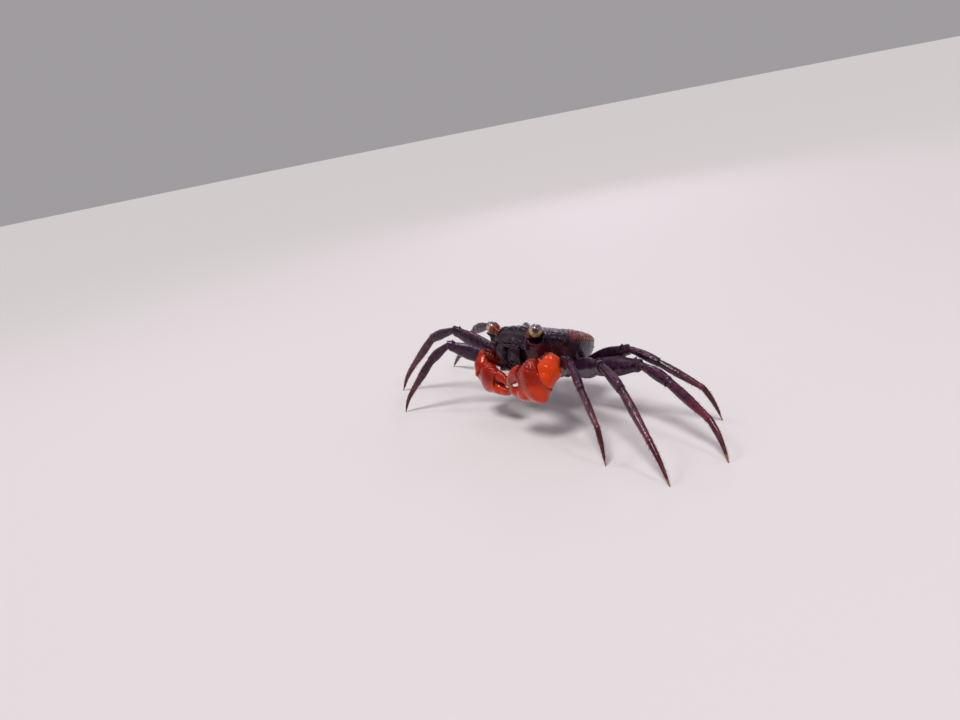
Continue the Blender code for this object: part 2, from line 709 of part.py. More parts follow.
def finger_teeth(base, axis, top, path, shape, size, sign):
    """Blunt teeth in a row along a finger's cutting edge, larger in the middle. sign 1 bites upwards."""
    teeth = []
    for number in range(FINGER_TEETH):
        t = 0.2 + 0.62 * number / (FINGER_TEETH - 1)
        along, rise = (a * (1 - t) ** 2 + b * 2 * t * (1 - t) + c * t * t for a, b, c in zip(*path))
        radius = (0.26 + 0.1 * math.sin(math.pi * t)) * size
        centre = base + axis * along + top * (rise + sign * (finger_half(shape[2], size, t) - 0.35 * radius))
        teeth.append(ellipsoid(centre, (radius,) * 3, 6, 4))
    return teeth


def claw_arm(side, claw_paint):
    """The merus and the carpus of a claw leg."""
    root, elbow, wrist, tip = claw_joints(side)
    size = CLAW_SIZE[side]
    up = Vector((0, 0.3, 1))
    root_normal = between(root - root_level(root, elbow), root, elbow)
    elbow_normal = between(root, elbow, wrist)
    wrist_normal = between(elbow, wrist, tip, WRIST_SHARE[side])
    merus = segment(root, elbow, up, lambda t: size * bulge(t, *CLAW_MERUS_WIDTH),
                    lambda t: size * bulge(t, *CLAW_MERUS_HEIGHT), 12, 7)
    trim(merus, root + root_normal * (GAP / 2), root_normal)
    trim(merus, elbow - elbow_normal * (GAP / 2), -elbow_normal)
    merus_obj = new_object(f"claw_{side}_merus", merus, claw_paint)
    boolean(merus_obj, [swollen_body()], "DIFFERENCE")
    carpus = segment(elbow, wrist, up, lambda t: size * bulge(t, *CLAW_CARPUS_WIDTH),
                     lambda t: size * bulge(t, *CLAW_CARPUS_HEIGHT), 14, 7)
    trim(carpus, elbow + elbow_normal * (GAP / 2), elbow_normal)
    trim(carpus, wrist - wrist_normal * (GAP / 2), -wrist_normal)
    carpus_obj = new_object(f"claw_{side}_carpus", carpus, claw_paint)
    boolean(carpus_obj, [carpus_spine(side, elbow, wrist, size)], "UNION")
    return [(merus_obj, root), (carpus_obj, elbow)]


def carpus_spine(side, elbow, wrist, size):
    """The pointed tooth at the upper inner angle of a claw's carpus."""
    inward = mirrored((-0.62, -0.12, 0.78), side).normalized()
    root = elbow.lerp(wrist, 0.52) + inward * (1.1 * size)
    return spine(root, root + inward * (1.7 * size), 0.52 * size)


def settle(crab):
    """Moves the whole crab so that its box is centred on the origin and its feet are at height 0."""
    bpy.context.view_layer.update()
    corners = [part.matrix_world @ v.co for part in crab.children for v in part.data.vertices]
    lows = [min(c[axis] for c in corners) for axis in range(3)]
    highs = [max(c[axis] for c in corners) for axis in range(3)]
    crab.location = (-(lows[0] + highs[0]) / 2, -(lows[1] + highs[1]) / 2, -lows[2])


def clear_scene():
    """Removes everything that the file started with."""
    for obj in list(bpy.data.objects):
        bpy.data.objects.remove(obj)


def build():
    """Makes every node of the crab."""
    clear_scene()
    crab = bpy.data.objects.new("crab", None)
    bpy.context.scene.collection.objects.link(crab)
    shell_paint = paint("dark_shell", (0.035, 0.012, 0.03), 0.35)
    leg_paint = paint("leg_shell", (0.07, 0.02, 0.045), 0.4)
    tip_paint = paint("toe_shell", (0.14, 0.035, 0.03), 0.45)
    claw_paint = paint("claw_shell", (0.55, 0.03, 0.01), 0.3)
    finger_paint = paint("finger_shell", (0.6, 0.05, 0.02), 0.3)
    cornea_paint = paint("cornea", (0.55, 0.45, 0.2), 0.1)
    stalk_paint = paint("eyestalk_shell", (0.45, 0.08, 0.02), 0.35)
    middle = BODY_POSE @ Vector((0, 0, 0))
    made = [(carapace(shell_paint), middle), (thorax(shell_paint), middle), (pleon(shell_paint), middle)]
    for side in ("left", "right"):
        made.append((maxilliped(side, shell_paint), middle))
        made.append((antenna(side, shell_paint), BODY_POSE @ mirrored(ANTENNA_PATH[0], side)))
        made += [(part, BODY_POSE @ mirrored(STALK_ROOT, side)) for part in eye(side, stalk_paint, cornea_paint)]
        made += claw_arm(side, claw_paint)
        made += claw(side, claw_paint, finger_paint)
        for number in range(4):
            made += walking_leg(side, number, leg_paint, tip_paint)
    for part, joint in made:
        place(part, joint, crab)
    settle(crab)


build()
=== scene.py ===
"""The looks of a vampire crab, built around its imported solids.

Each piece is shaped in millimetres in the crab's own frames and carried to the row frame at the end.
The shell frame has its origin in the middle of the carapace, +X to the crab's left, -Y ahead and
+Z up through its back. The ground frame has the same axes with Z = 0 on the floor.
"""

from functools import partial
from math import asin, atan, copysign, cos, pi, radians, sin, sqrt

import bmesh
import bpy
import numpy as np
from mathutils import Matrix, Vector, noise


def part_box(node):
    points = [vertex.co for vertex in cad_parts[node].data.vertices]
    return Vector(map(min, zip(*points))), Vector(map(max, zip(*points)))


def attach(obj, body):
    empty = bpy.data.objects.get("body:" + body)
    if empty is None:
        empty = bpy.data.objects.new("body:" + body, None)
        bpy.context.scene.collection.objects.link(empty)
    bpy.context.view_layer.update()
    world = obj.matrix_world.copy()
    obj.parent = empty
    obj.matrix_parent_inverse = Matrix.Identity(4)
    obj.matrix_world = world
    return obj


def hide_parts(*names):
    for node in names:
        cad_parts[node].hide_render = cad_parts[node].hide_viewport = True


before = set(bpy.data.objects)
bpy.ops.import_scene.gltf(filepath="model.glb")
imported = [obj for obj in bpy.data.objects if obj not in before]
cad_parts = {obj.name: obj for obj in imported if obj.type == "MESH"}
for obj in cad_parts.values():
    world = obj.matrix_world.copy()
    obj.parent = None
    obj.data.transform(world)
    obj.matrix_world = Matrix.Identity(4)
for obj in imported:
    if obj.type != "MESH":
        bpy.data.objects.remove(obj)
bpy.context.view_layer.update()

MM = 0.001
TURN = 2 * pi
UP = Vector((0, 0, 1))
DOWN = Vector((0, 0, -1))
SIDES = ("left", "right")

# Driving sizes of the solids, in millimetres, shell frame. WIDTH is the carapace's.
WIDTH = 17.0
HALF_WIDTH = WIDTH / 2
HALF_LENGTH = 0.435 * WIDTH
MARGIN_HEIGHT = 0.124 * WIDTH
MARGIN_SLOPE = 0.04
BACK_RISE = 0.09 * WIDTH
BELLY_DROP = 0.365 * WIDTH
REAR_TAPER = 0.2
WALL_LEAN = 0.2
FRONT_DIP = 0.35
SEAM_HEIGHT = -0.15 * WIDTH
PLAN_ROUND = 0.42
BACK_ROUND = 0.78
BELLY_ROUND = 0.7
GAP = 0.3

# How the body is held: height of the shell's middle, nose up, left side up.
BODY_HEIGHT = 10.5
BODY_PITCH = 18.9
BODY_ROLL = 3.3

# Eyes, front and feelers, left side.
EYE_RADIUS = 0.068 * WIDTH
EYE_CENTRE = Vector((0.35, -0.405, 0.195)) * WIDTH
STALK_ROOT = Vector((0.235, -0.385, 0.14)) * WIDTH
STALK_RADIUS = 0.046 * WIDTH
ORBIT_CENTRE = Vector((0.352, -0.43, 0.14)) * WIDTH
ORBIT_RADII = Vector((0.105, 0.1, 0.085)) * WIDTH
FRONT_HALF_WIDTH = 0.262 * WIDTH
FRONT_PROFILE = ((-4.9, 3.4), (-5.8, 3.4), (-6.6, 3.05), (-7.3, 2.4), (-7.8, 1.7), (-8.0, 1.05))
FRONT_THICKNESS = 0.8
LOBE_RADII = Vector((1.1, 0.75, 0.5))
LOBE_CENTRES = (Vector((1.25, -5.9, 3.3)), Vector((3.4, -5.8, 3.15)))
HOLLOW_CENTRE = Vector((0.0, -8.5, 0.0))
HOLLOW_RADII = Vector((4.2, 1.6, 1.0))
# The directions of the left eye's painted pseudopupil and of its crown, where a mottled lilac reflection is
# painted.
GAZE = (0.755, -0.652, 0.06)
EYE_REFLECTION_CROWN = (0, 0.25, 1)
ANTENNA_PATH = ((4.9, -7.75, 0.25), (5.9, -9.2, 0.7), (7.9, -10.3, 2.6))

# Teeth of the side margin: root, tip and root radius, as shares of the width and in millimetres.
MARGIN_TEETH = (
    (Vector((0.425, -0.335, 0.125)), Vector((0.459, -0.41, 0.138)), 0.85),
    (Vector((0.455, -0.25, 0.12)), Vector((0.5, -0.3, 0.13)), 0.8),
    (Vector((0.475, -0.185, 0.115)), Vector((0.512, -0.225, 0.124)), 0.7),
)

# The tail folded under the body: half widths of root and tip, its reach from the body's middle, and how
# far below the level its two ends lie, in degrees.
PLEON_ROOT_HALF = 3.0
PLEON_TIP_HALF = 0.8
PLEON_REACH = 7.0
PLEON_FALLS = (24, 118)
PLEON_JOINTS = 7

# Walking legs: roots, lengths of merus, carpus, propodus and dactylus, and stoutness.
LEG_ROOTS = ((6.4, -3.0, -3.2), (7.0, -0.4, -3.1), (6.8, 2.1, -2.8), (5.7, 4.4, -2.2))
LEG_LENGTHS = ((11.5, 5.0, 7.1, 5.5), (15.0, 6.4, 9.6, 6.5), (14.4, 6.4, 9.5, 6.7), (12.5, 5.5, 7.9, 5.9))
LEG_STOUTNESS = (0.92, 1.0, 1.0, 0.9)
# Radii of the limbs' root pieces, the claw leg's last.
COXA_RADII = (1.15, 1.25, 1.25, 1.1, 1.35)
COXA_LENGTH = 3.4
# Half widths and half heights at start, peak and end, where the peak lies, bow, and how far it is keeled.
LEG_SHAPES = (
    ("merus", (0.68, 0.85, 0.66), (0.95, 1.55, 1.0), 0.6, 0.0, 0.1),
    ("carpus", (0.54, 0.7, 0.64), (0.62, 0.95, 0.85), 0.7, 0.12, 0.04),
    ("propodus", (0.56, 0.6, 0.44), (0.74, 0.8, 0.55), 0.35, 0.0, 0.05),
)
DACTYLUS_RADII = (0.46, 0.16)
DACTYLUS_BOW = 0.3
# Heading from straight ahead, lean of the leg's plane, and rise of merus, carpus and propodus, in degrees.
LEG_POSES = {
    "left": ((65, -1, 21, -40, -37), (70, -3, 16, -18, -36), (88, -24, 10, -15, -25), (95, 17, 21, -23, -30)),
    "right": ((55, 2, 24, -34, -48), (75, -2, 24, -16, -42), (98, -5, 20, -14, -40), (122, 3, 14, -11, -34)),
}

# Claw legs. Root: shell frame, left side. Elbow, wrist and finger tip: ground frame.
CLAW_ROOT = Vector((5.2, -5.2, -2.9))
CLAW_JOINTS = {
    "left": (Vector((12.4, -8.8, 12.8)), Vector((13.0, -11.0, 10.7)), Vector((5.4, -12.7, 8.8))),
    "right": (Vector((-7.1, -7.7, 11.1)), Vector((-6.7, -9.2, 8.1)), Vector((1.7, -9.5, 6.5))),
}
CLAW_SIZE = {"left": 0.97, "right": 0.74}
# How far the plane in which palm and carpus meet is turned square to the palm: 0.5 shares the bend equally.
WRIST_SHARE = {"left": 0.7, "right": 0.5}
# Half widths and half heights of a claw leg's pieces at start, peak and end, and where the peak lies.
# The carpus is a little fuller at the elbow than the solid.
CLAW_MERUS = ((1.1, 1.4, 1.1, 0.6), (1.1, 1.65, 1.4, 0.65))
CLAW_CARPUS = ((1.55, 2.25, 1.75, 0.55), (1.55, 2.15, 1.75, 0.55))
PALM = ((1.2, 2.2, 1.75, 0.5), (3.1, 3.8, 2.8, 0.4))
PALM_SHARE = 0.55
# The two fingers: heights over the claw's axis at root and bend, and half heights and widths at root and tip.
FIXED_FINGER = (-1.75, -1.8, (1.5, 0.32), (1.25, 0.34))
UPPER_FINGER = (1.75, 2.1, (1.45, 0.3), (1.15, 0.32))
FINGER_TIP_RISE = 0.4
FINGER_TEETH = 9

# Looks only: the skins are finer than the solids and meet with a smaller gap.
SKIN_GAP = 0.1
BODY_VOXEL = 0.11
THORAX_VOXEL = 0.13
LIMB_VOXEL = 0.09
FINE_VOXEL = 0.08
CLAW_VOXEL = 0.075
CAP_ANGLES = tuple(radians(a) for a in (84, 66, 48, 30, 14))
# Raised regions of one half of the back: middle across and along, half width, half length and height.
BACK_REGIONS = (
    (5.2, 0.6, 2.2, 4.2, 0.3),
    (0.0, -2.2, 2.6, 1.9, 0.24),
    (2.5, -3.9, 1.2, 1.1, 0.16),
    (0.0, 3.3, 1.7, 1.7, 0.2),
    (1.5, -5.5, 1.0, 0.55, 0.16),
)
# Where the sutures of the breast plates cross the middle line.
SUTURES = (-4.6, -2.3, -0.2, 1.7, 3.5)
# Half length, half width and half height of the soft skin in a walking leg's four joints, then in a claw
# leg's first three.
LEG_HINGES = ((0.55, 0.72, 0.765), (0.55, 0.504, 0.612), (0.55, 0.477, 0.594), (0.55, 0.36, 0.414))
CLAW_HINGES = ((0.7, 1.0, 1.0), (0.7, 1.1, 1.25), (0.7, 1.0, 1.5))
# Merus, carpus and propodus: height of the side keels and of the folds, the patch colour's share at the
# start and what the end adds, and how thickly bristles grow along the edges and round the far rim.
LEG_LOOKS = (
    (0.0, 0.035, 0.0, 0.12, 0.12, 0.0),
    (0.09, 0.015, 0.08, 0.15, 0.2, 0.3),
    (0.07, 0.0, 0.2, 0.75, 0.25, 0.5),
)
# How far the bright orange of a claw's carpus covers its red: the left one is the brighter in the photograph.
CARPUS_BRIGHTNESS = {"left": 0.9, "right": 0.45}
# The shares of a claw's finger between which its shell turns to horn.
HORNY = (0.74, 0.97)
# Bristles: seed, number on a square millimetre, length, radius, and how far they lean.
WALL_BRISTLES = (3, 6.0, 0.42, 0.022, 0.9)
JAW_BRISTLES = (11, 5.0, 0.5, 0.02, 0.8)
CLAW_BRISTLES = (31, 6.0, 0.4, 0.02, 0.7)
LEG_BRISTLES = (51, 14.0, 0.55, 0.02, 0.9)


def ramp(low, high, value):
    """0 below low, 1 above high, and a smooth rise between."""
    t = np.clip((value - low) / (high - low), 0.0, 1.0)
    return t * t * (3 - 2 * t)


def within(value, below, low, high, above):
    """1 between low and high, and 0 outside the other two."""
    return ramp(below, low, value) * ramp(above, high, value)


def hump(distance, width):
    """1 at distance 0, falling away over about the width."""
    return np.exp(-(distance / width) ** 2)


def comb(value, pitch):
    """1 at every pitch and 0 halfway between."""
    return 0.5 + 0.5 * np.cos(TURN * value / pitch)


def bulge(t, start, peak, end, at=0.5):
    """A size along a piece that swells from start to peak and falls to end."""
    if t < at:
        return start + (peak - start) * (0.5 - 0.5 * cos(pi * max(t, 0.0) / at))
    return peak + (end - peak) * (0.5 - 0.5 * cos(pi * (min(t, 1.0) - at) / (1 - at)))


def mirrored(point, side):
    """A point of the crab's left side, or its twin on the right."""
    return Vector(point) if side == "left" else Vector((-point[0], point[1], point[2]))


BODY_POSE = (Matrix.Translation((0, 0, BODY_HEIGHT)) @ Matrix.Rotation(radians(-BODY_ROLL), 4, "Y")
             @ Matrix.Rotation(radians(-BODY_PITCH), 4, "X"))
TO_SHELL = BODY_POSE.inverted()


# Closed bodies from bmesh, in millimetres

def closed(bm):
    """The body with its faces turned outwards."""
    bmesh.ops.recalc_face_normals(bm, faces=bm.faces)
    return bm


def moved(bm, matrix):
    """The body after a change of place or size."""
    bmesh.ops.transform(bm, matrix=matrix, verts=bm.verts)
    return bm


def loft(rings):
    """A closed body through rings of points, each end ring gathered to its middle."""
    bm = bmesh.new()
    made = [[bm.verts.new(p) for p in ring] for ring in rings]
    sides = len(rings[0])
    pairs = [(k, (k + 1) % sides) for k in range(sides)]
    for low, high in zip(made, made[1:]):
        for k, j in pairs:
            bm.faces.new((low[k], low[j], high[j], high[k]))
    for ring, turned in ((made[0], True), (made[-1], False)):
        middle = bm.verts.new(sum((v.co for v in ring), Vector()) / sides)
        for k, j in pairs:
            bm.faces.new((ring[j], ring[k], middle) if turned else (ring[k], ring[j], middle))
    return closed(bm)


def trim(bm, *planes):
    """The body cut and closed by planes, each a point and the direction of what is kept."""
    for point, kept in planes:
        geometry = [*bm.verts, *bm.edges, *bm.faces]
        cut = bmesh.ops.bisect_plane(bm, geom=geometry, dist=1e-6, plane_co=point, plane_no=kept,
                                     clear_inner=True)
        edges = [e for e in cut["geom_cut"] if isinstance(e, bmesh.types.BMEdge)]
        bmesh.ops.holes_fill(bm, edges=edges)
        closed(bm)
    return bm


def ellipsoid(centre, radii, sides=32, rings=20, turn=None):
    """A closed ellipsoid."""
    bm = bmesh.new()
    bmesh.ops.create_uvsphere(bm, u_segments=sides, v_segments=rings, radius=1.0)
    return moved(bm, Matrix.Translation(centre) @ (turn or Matrix()) @ Matrix.Diagonal((*radii, 1.0)))


def facing(way, along, up):
    """The turn that points one axis along a way and another one up."""
    return way.to_track_quat(along, up).to_matrix().to_4x4()


def spine(root, tip, radius):
    """A pointed tooth."""
    axis = tip - root
    bm = bmesh.new()
    bmesh.ops.create_cone(bm, cap_ends=True, segments=14, radius1=radius, radius2=0.12 * radius,
                          depth=axis.length)
    return moved(bm, Matrix.Translation((root + tip) / 2) @ facing(axis, "Z", "Y"))


def curve(path):
    """A bent line through three points, as a function of the share of its length."""
    a, b, c = path
    return lambda t: a * (1 - t) ** 2 + b * (2 * t * (1 - t)) + c * t ** 2


def rod(place, radius, count=40, sides=12):
    """A round rod. place and radius are functions of the share of its length."""
    rings = []
    for i in range(count):
        t = i / (count - 1)
        axis = (place(min(1.0, t + 0.01)) - place(max(0.0, t - 0.01))).normalized()
        across = axis.cross(Vector((0.05, 0.1, 1))).normalized()
        lift = across.cross(axis)
        angles = (TURN * k / sides for k in range(sides))
        rings.append([place(t) + (across * cos(a) + lift * sin(a)) * radius(t) for a in angles])
    return loft(rings)


def as_mesh(bm):
    """The body as a mesh. The body itself is freed."""
    mesh = bpy.data.meshes.new("body")
    bm.to_mesh(mesh)
    bm.free()
    return mesh


def joined(meshes):
    """One mesh that holds all the meshes, which are removed."""
    whole = bmesh.new()
    for mesh in meshes:
        whole.from_mesh(mesh)
        bpy.data.meshes.remove(mesh)
    return as_mesh(whole)


def placed(name, data):
    """A new object in the scene."""
    obj = bpy.data.objects.new(name, data)
    bpy.context.scene.collection.objects.link(obj)
    return obj


def settled(item, **settings):
    """The item with its settings made."""
    for name, value in settings.items():
        setattr(item, name, value)
    return item


def modified(mesh, kind, inputs=None, **settings):
    """The mesh after a modifier. The inputs go to the modifier's node tree."""
    obj = placed("work", mesh)
    modifier = settled(obj.modifiers.new(kind, kind), **settings)
    for identifier, value in (inputs or {}).items():
        modifier[identifier] = value
    graph = bpy.context.evaluated_depsgraph_get()
    made = bpy.data.meshes.new_from_object(obj.evaluated_get(graph))
    bpy.data.objects.remove(obj)
    return made


def fused(bodies, voxel, smoothing):
    """One closed skin over overlapping bodies, or over a mesh, softened where they meet."""
    mesh = bodies if isinstance(bodies, bpy.types.Mesh) else joined(as_mesh(bm) for bm in bodies)
    skin = modified(mesh, "REMESH", mode="VOXEL", voxel_size=voxel)
    return modified(skin, "SMOOTH", factor=0.5, iterations=smoothing) if smoothing else skin


def carved(mesh, hollows):
    """The mesh less the hollows, which are closed bodies."""
    tool = placed("tool", fused(hollows, FINE_VOXEL, 0))
    made = modified(mesh, "BOOLEAN", operation="DIFFERENCE", solver="MANIFOLD", object=tool)
    bpy.data.objects.remove(tool)
    return made


# Reading and moving a mesh's points as arrays

def rows_of(items, field):
    """A vector of every item, one row each."""
    rows = np.empty(len(items) * 3, np.float32)
    items.foreach_get(field, rows)
    return rows.reshape(-1, 3).astype(float)


def points_of(mesh):
    """The mesh's points, one row each."""
    return rows_of(mesh.vertices, "co")


def keep(mesh, **values):
    """Stores numbers or vectors for the mesh's points. A single number goes to every point."""
    for name, value in values.items():
        value = np.asarray(value, np.float32)
        if not value.ndim:
            value = np.full(len(mesh.vertices), value)
        kind, field = ("FLOAT", "value") if value.ndim == 1 else ("FLOAT_VECTOR", "vector")
        store = mesh.attributes.get(name) or mesh.attributes.new(name, kind, "POINT")
        store.data.foreach_set(field, value.ravel())


def granules(points, cell, fill=0.55):
    """Rounded grains, 0 between them and 1 on top."""
    near = np.array([noise.voronoi(Vector(p))[0][0] for p in points / cell])
    return np.clip(1 - (near / fill) ** 2, 0.0, 1.0)


def waves(points, size):
    """Soft unevenness between about -1 and 1."""
    return np.array([noise.noise(Vector(p)) for p in points / size])


def emboss(mesh, heights, **values):
    """Moves each point out along its normal, and keeps the height and other values for the finish."""
    points = points_of(mesh) + rows_of(mesh.vertex_normals, "vector") * heights[:, None]
    mesh.vertices.foreach_set("co", points.astype(np.float32).ravel())
    mesh.update()
    keep(mesh, relief=heights, **values)


def along_ways(points, origin, *ways):
    """How far each point lies from an origin along each direction."""
    return [(points - np.array(origin)) @ np.array(way) for way in ways]


# The cephalothorax

def shell_point(direction, swell=0.0):
    """The point of the body's surface in a direction from its middle, shell frame."""
    d = direction.normalized()
    rise, vertical = (BACK_RISE, BACK_ROUND) if d.z > 0 else (BELLY_DROP, BELLY_ROUND)
    plan = abs(d.x / HALF_WIDTH) ** (2 / PLAN_ROUND) + abs(d.y / HALF_LENGTH) ** (2 / PLAN_ROUND)
    reach = plan ** (PLAN_ROUND / vertical) + abs(d.z / rise) ** (2 / vertical)
    p = d * (reach ** (-vertical / 2) + swell)
    p.x *= 1 - REAR_TAPER * ramp(0.0, HALF_LENGTH, p.y)
    p.x *= 1 - WALL_LEAN * ramp(0.0, BELLY_DROP, -p.z)
    p.z -= FRONT_DIP * ramp(0.45 * HALF_LENGTH, HALF_LENGTH, -p.y) * (p.z > 0)
    p.z += MARGIN_HEIGHT - MARGIN_SLOPE * p.y
    return p


def on_body(target, swell):
    """The point of the body's surface, raised by swell, that lies towards a target."""
    return shell_point(target - Vector((0, 0, MARGIN_HEIGHT)), swell)


def over_margin(points):
    """How far each point lies above the side margin of the shell."""
    return points[:, 2] - (MARGIN_HEIGHT - MARGIN_SLOPE * points[:, 1])


def body_blank(cuts, *planes):
    """The cephalothorax, a divided cube pressed into its form, cut by planes."""
    bm = bmesh.new()
    bmesh.ops.create_cube(bm, size=2.0)
    bmesh.ops.subdivide_edges(bm, edges=bm.edges, cuts=cuts, use_grid_fill=True)
    for vertex in bm.verts:
        vertex.co = shell_point(vertex.co)
    return trim(closed(bm), *planes)


def front_plate(across=40):
    """The plate between the eyes, bent down, its free edge in two low rounded lobes."""
    rings = []
    for i in range(across + 1):
        u = -1 + 2 * i / across
        ring = []
        for j, (y, z) in enumerate(FRONT_PROFILE):
            v = j / (len(FRONT_PROFILE) - 1)
            wave = 0.3 * (0.5 - 0.5 * cos(TURN * min(1.0, abs(u)))) * v
            ring.append(Vector((u * FRONT_HALF_WIDTH, y + (0.2 + 0.4 * v) * u * u, z - wave - 0.25 * u * u)))
        inner = [p + Vector((0, 0.55, -0.83)) * FRONT_THICKNESS for p in reversed(ring)]
        rings.append(ring + inner)
    return loft(rings)


def leg_joints(side, number):
    """The five joints of a walking leg in the ground frame, and the direction of its upper edge."""
    heading, lean, *rises = (radians(a) for a in LEG_POSES[side][number])
    left_out = Vector((sin(heading), -cos(heading), 0.0))
    out = mirrored(left_out, side)
    up = UP * cos(lean) + mirrored(left_out.cross(UP), side) * sin(lean)
    lengths = LEG_LENGTHS[number]
    joints = [BODY_POSE @ mirrored(LEG_ROOTS[number], side)]
    for length, rise in zip(lengths, rises):
        joints.append(joints[-1] + (out * cos(rise) + up * sin(rise)) * length)
    fall = asin(min(0.97, joints[-1].z / (lengths[3] * up.z)))
    joints.append(joints[-1] + (out * cos(fall) - up * sin(fall)) * lengths[3])
    return joints, up


def claw_joints(side):
    """Root, elbow, wrist and finger tip of a claw leg, ground frame."""
    return [BODY_POSE @ mirrored(CLAW_ROOT, side), *CLAW_JOINTS[side]]


def axes(start, end, up):
    """The directions along a limb piece, to its side and to its upper edge."""
    axis = (end - start).normalized()
    side = axis.cross(up).normalized()
    return axis, side, side.cross(axis)


def segment(start, end, up, half_width, half_height, sides, count, arch=0.0, crest=0.0):
    """A limb piece as a loft along its axis, with a round cap past each joint that planes then trim.

    half_width and half_height are functions of the share of the length. arch bows the piece towards
    up, and crest draws its upper and lower edges out to blunt keels.
    """
    length = (end - start).length
    axis, side, top = axes(start, end, up)
    stations = [(-sin(a) * half_height(0.0) / length, cos(a)) for a in CAP_ANGLES]
    stations += [(i / (count - 1), 1.0) for i in range(count)]
    stations += [(1 + sin(a) * half_height(1.0) / length, cos(a)) for a in reversed(CAP_ANGLES)]
    rings = []
    for t, shrink in stations:
        inside = min(1.0, max(0.0, t))
        centre = start + axis * (length * t) + top * (arch * sin(pi * inside))
        ring = []
        for k in range(sides):
            angle = TURN * (k + 0.5) / sides
            keel = crest * sin(pi * inside) * hump(cos(angle), 0.3)
            across = half_width(inside) * shrink * cos(angle)
            upward = half_height(inside) * shrink * sin(angle) * (1 + keel)
            ring.append(centre + side * across + top * upward)
        rings.append(ring)
    return loft(rings)


def ends(start, start_normal, end, end_normal):
    """The two planes that part a limb piece from its neighbours."""
    gap = SKIN_GAP / 2
    return (start + start_normal * gap, start_normal), (end - end_normal * gap, -end_normal)


def between(before, here, after, share=0.5):
    """Normal of the plane in which two limb pieces meet, with the share that the second one has in it."""
    return (here - before).normalized().lerp((after - here).normalized(), share).normalized()


def root_level(joint, following):
    """The nearly level direction in which a limb's root piece runs out to its first joint."""
    axis = (following - joint).normalized()
    return Vector((axis.x, axis.y, 0.15)).normalized()


def coxae(grow=0.0):
    """The short root pieces of all ten limbs, from the thorax to each limb's first joint."""
    pieces = []
    for side in SIDES:
        roots = [leg_joints(side, number)[0][:2] for number in range(4)] + [claw_joints(side)[:2]]
        for (joint, following), radius in zip(roots, COXA_RADII):
            def size(t, radius=radius + grow, groove=0.0 if grow else 0.12):
                return radius - groove * hump(t - 0.72, 0.06)
            level = root_level(joint, following)
            bm = segment(joint - level * (COXA_LENGTH + grow), joint, UP, size, size, 24, 20)
            normal = (level + (following - joint).normalized()).normalized()
            pieces.append(trim(bm, (joint - normal * (SKIN_GAP / 2 - grow), -normal)))
    return pieces


def stalk_body(side, grow=0.0):
    """An eyestalk, or the pocket that clears it when it is grown."""
    root, centre = (mirrored(p, side) for p in (STALK_ROOT, EYE_CENTRE))
    axis = (centre - root).normalized()

    def size(t):
        return STALK_RADIUS * (1 + 0.3 * t - 0.12 * hump(t - 0.35, 0.12)) + grow
    return trim(segment(root, centre, UP, size, size, 36, 20), (root - axis * grow, axis))


def back_heights(points):
    """How far the back stands proud at each point: regions, grooves, slanting lines and grains."""
    fret = waves(points, 0.9)
    x = np.abs(points[:, 0]) + 0.45 * waves(points, 2.4) + 0.12 * fret
    y = points[:, 1] + 0.4 * waves(points[:, [1, 2, 0]], 2.0)
    depth = 0.75 + 0.5 * fret
    form = sum(height * hump(np.hypot((x - across) / half_width, (y - along) / half_length), 1)
               for across, along, half_width, half_length, height in BACK_REGIONS)
    cervical = hump(y - 1.25 + 0.1 * x * x, 0.5) * within(x, 0.4, 1.4, 4.2, 6.4)
    form -= 0.36 * depth * cervical
    form -= 0.16 * hump(y - 1.0, 0.4) * ramp(1.9, 1.0, x)
    form -= 0.22 * hump(x - 0.35 - 0.3 * (y + 5.4), 0.26) * within(y, -5.9, -5.2, -2.2, -1.2)
    waist = x - 1.7 - 0.42 * np.cos(0.95 * (y - 2.9))
    form -= 0.3 * depth * hump(waist, 0.4) * within(y, 0.6, 1.6, 4.0, 5.4)
    form -= 0.1 * hump(y - 4.8 + 0.12 * x * x, 0.35) * ramp(2.4, 1.4, x)
    form -= 0.22 * hump(y + 5.05, 0.35) * ramp(5.2, 4.4, x)
    slant = points[:, 1] + 0.55 * (x - 5.2) + 0.3 * fret
    ridges = comb(slant, 0.85) ** 3 * ramp(-0.5, 0.3, waves(points, 1.2))
    form += 0.13 * ridges * ramp(4.0, 5.6, x) * within(y, -3.4, -2.4, 4.6, 6.4)
    form += granules(points, 0.36) * (0.03 + 0.055 * ramp(0.5, -4.5, y) + 0.03 * ramp(4, 7, x))
    form -= 0.03 * granules(points + 7.7, 0.5, 0.3) * ramp(-3.0, 0.0, y)
    return ramp(-0.1, 0.5, over_margin(points)) * form + 0.05 * waves(points, 1.3)


def wall_heights(points):
    """The beaded edge of the shell, and short lines slanting two ways on its side walls."""
    x, y, z = np.abs(points[:, 0]), points[:, 1], points[:, 2]
    edge = over_margin(points)
    along = within(y, -6.6, -5.6, 5.0, 6.6) * ramp(3.8, 5.2, x)
    beads = 0.13 * hump(edge, 0.2) * along * (0.1 + 0.9 * comb(y, 0.62))
    drift = 0.35 * waves(points, 1.0)
    rows = [hump(np.sin(pi * (z * 0.95 + slope * y + drift) / 0.5), 0.4) for slope in (0.42, -0.3)]
    broken = [ramp(-0.3, 0.4, waves(points + shift, 0.8)) for shift in (0.0, 9.0)]
    net = rows[0] * broken[0] + 0.8 * rows[1] * broken[1]
    rim = 0.14 * hump(edge + 1.1, 0.22) * ramp(4.6, 5.8, y)
    fine = 0.035 * net + 0.025 * granules(points, 0.3) + 0.03 * waves(points, 1.6)
    return beads + rim + ramp(-0.3, -0.8, edge) * fine


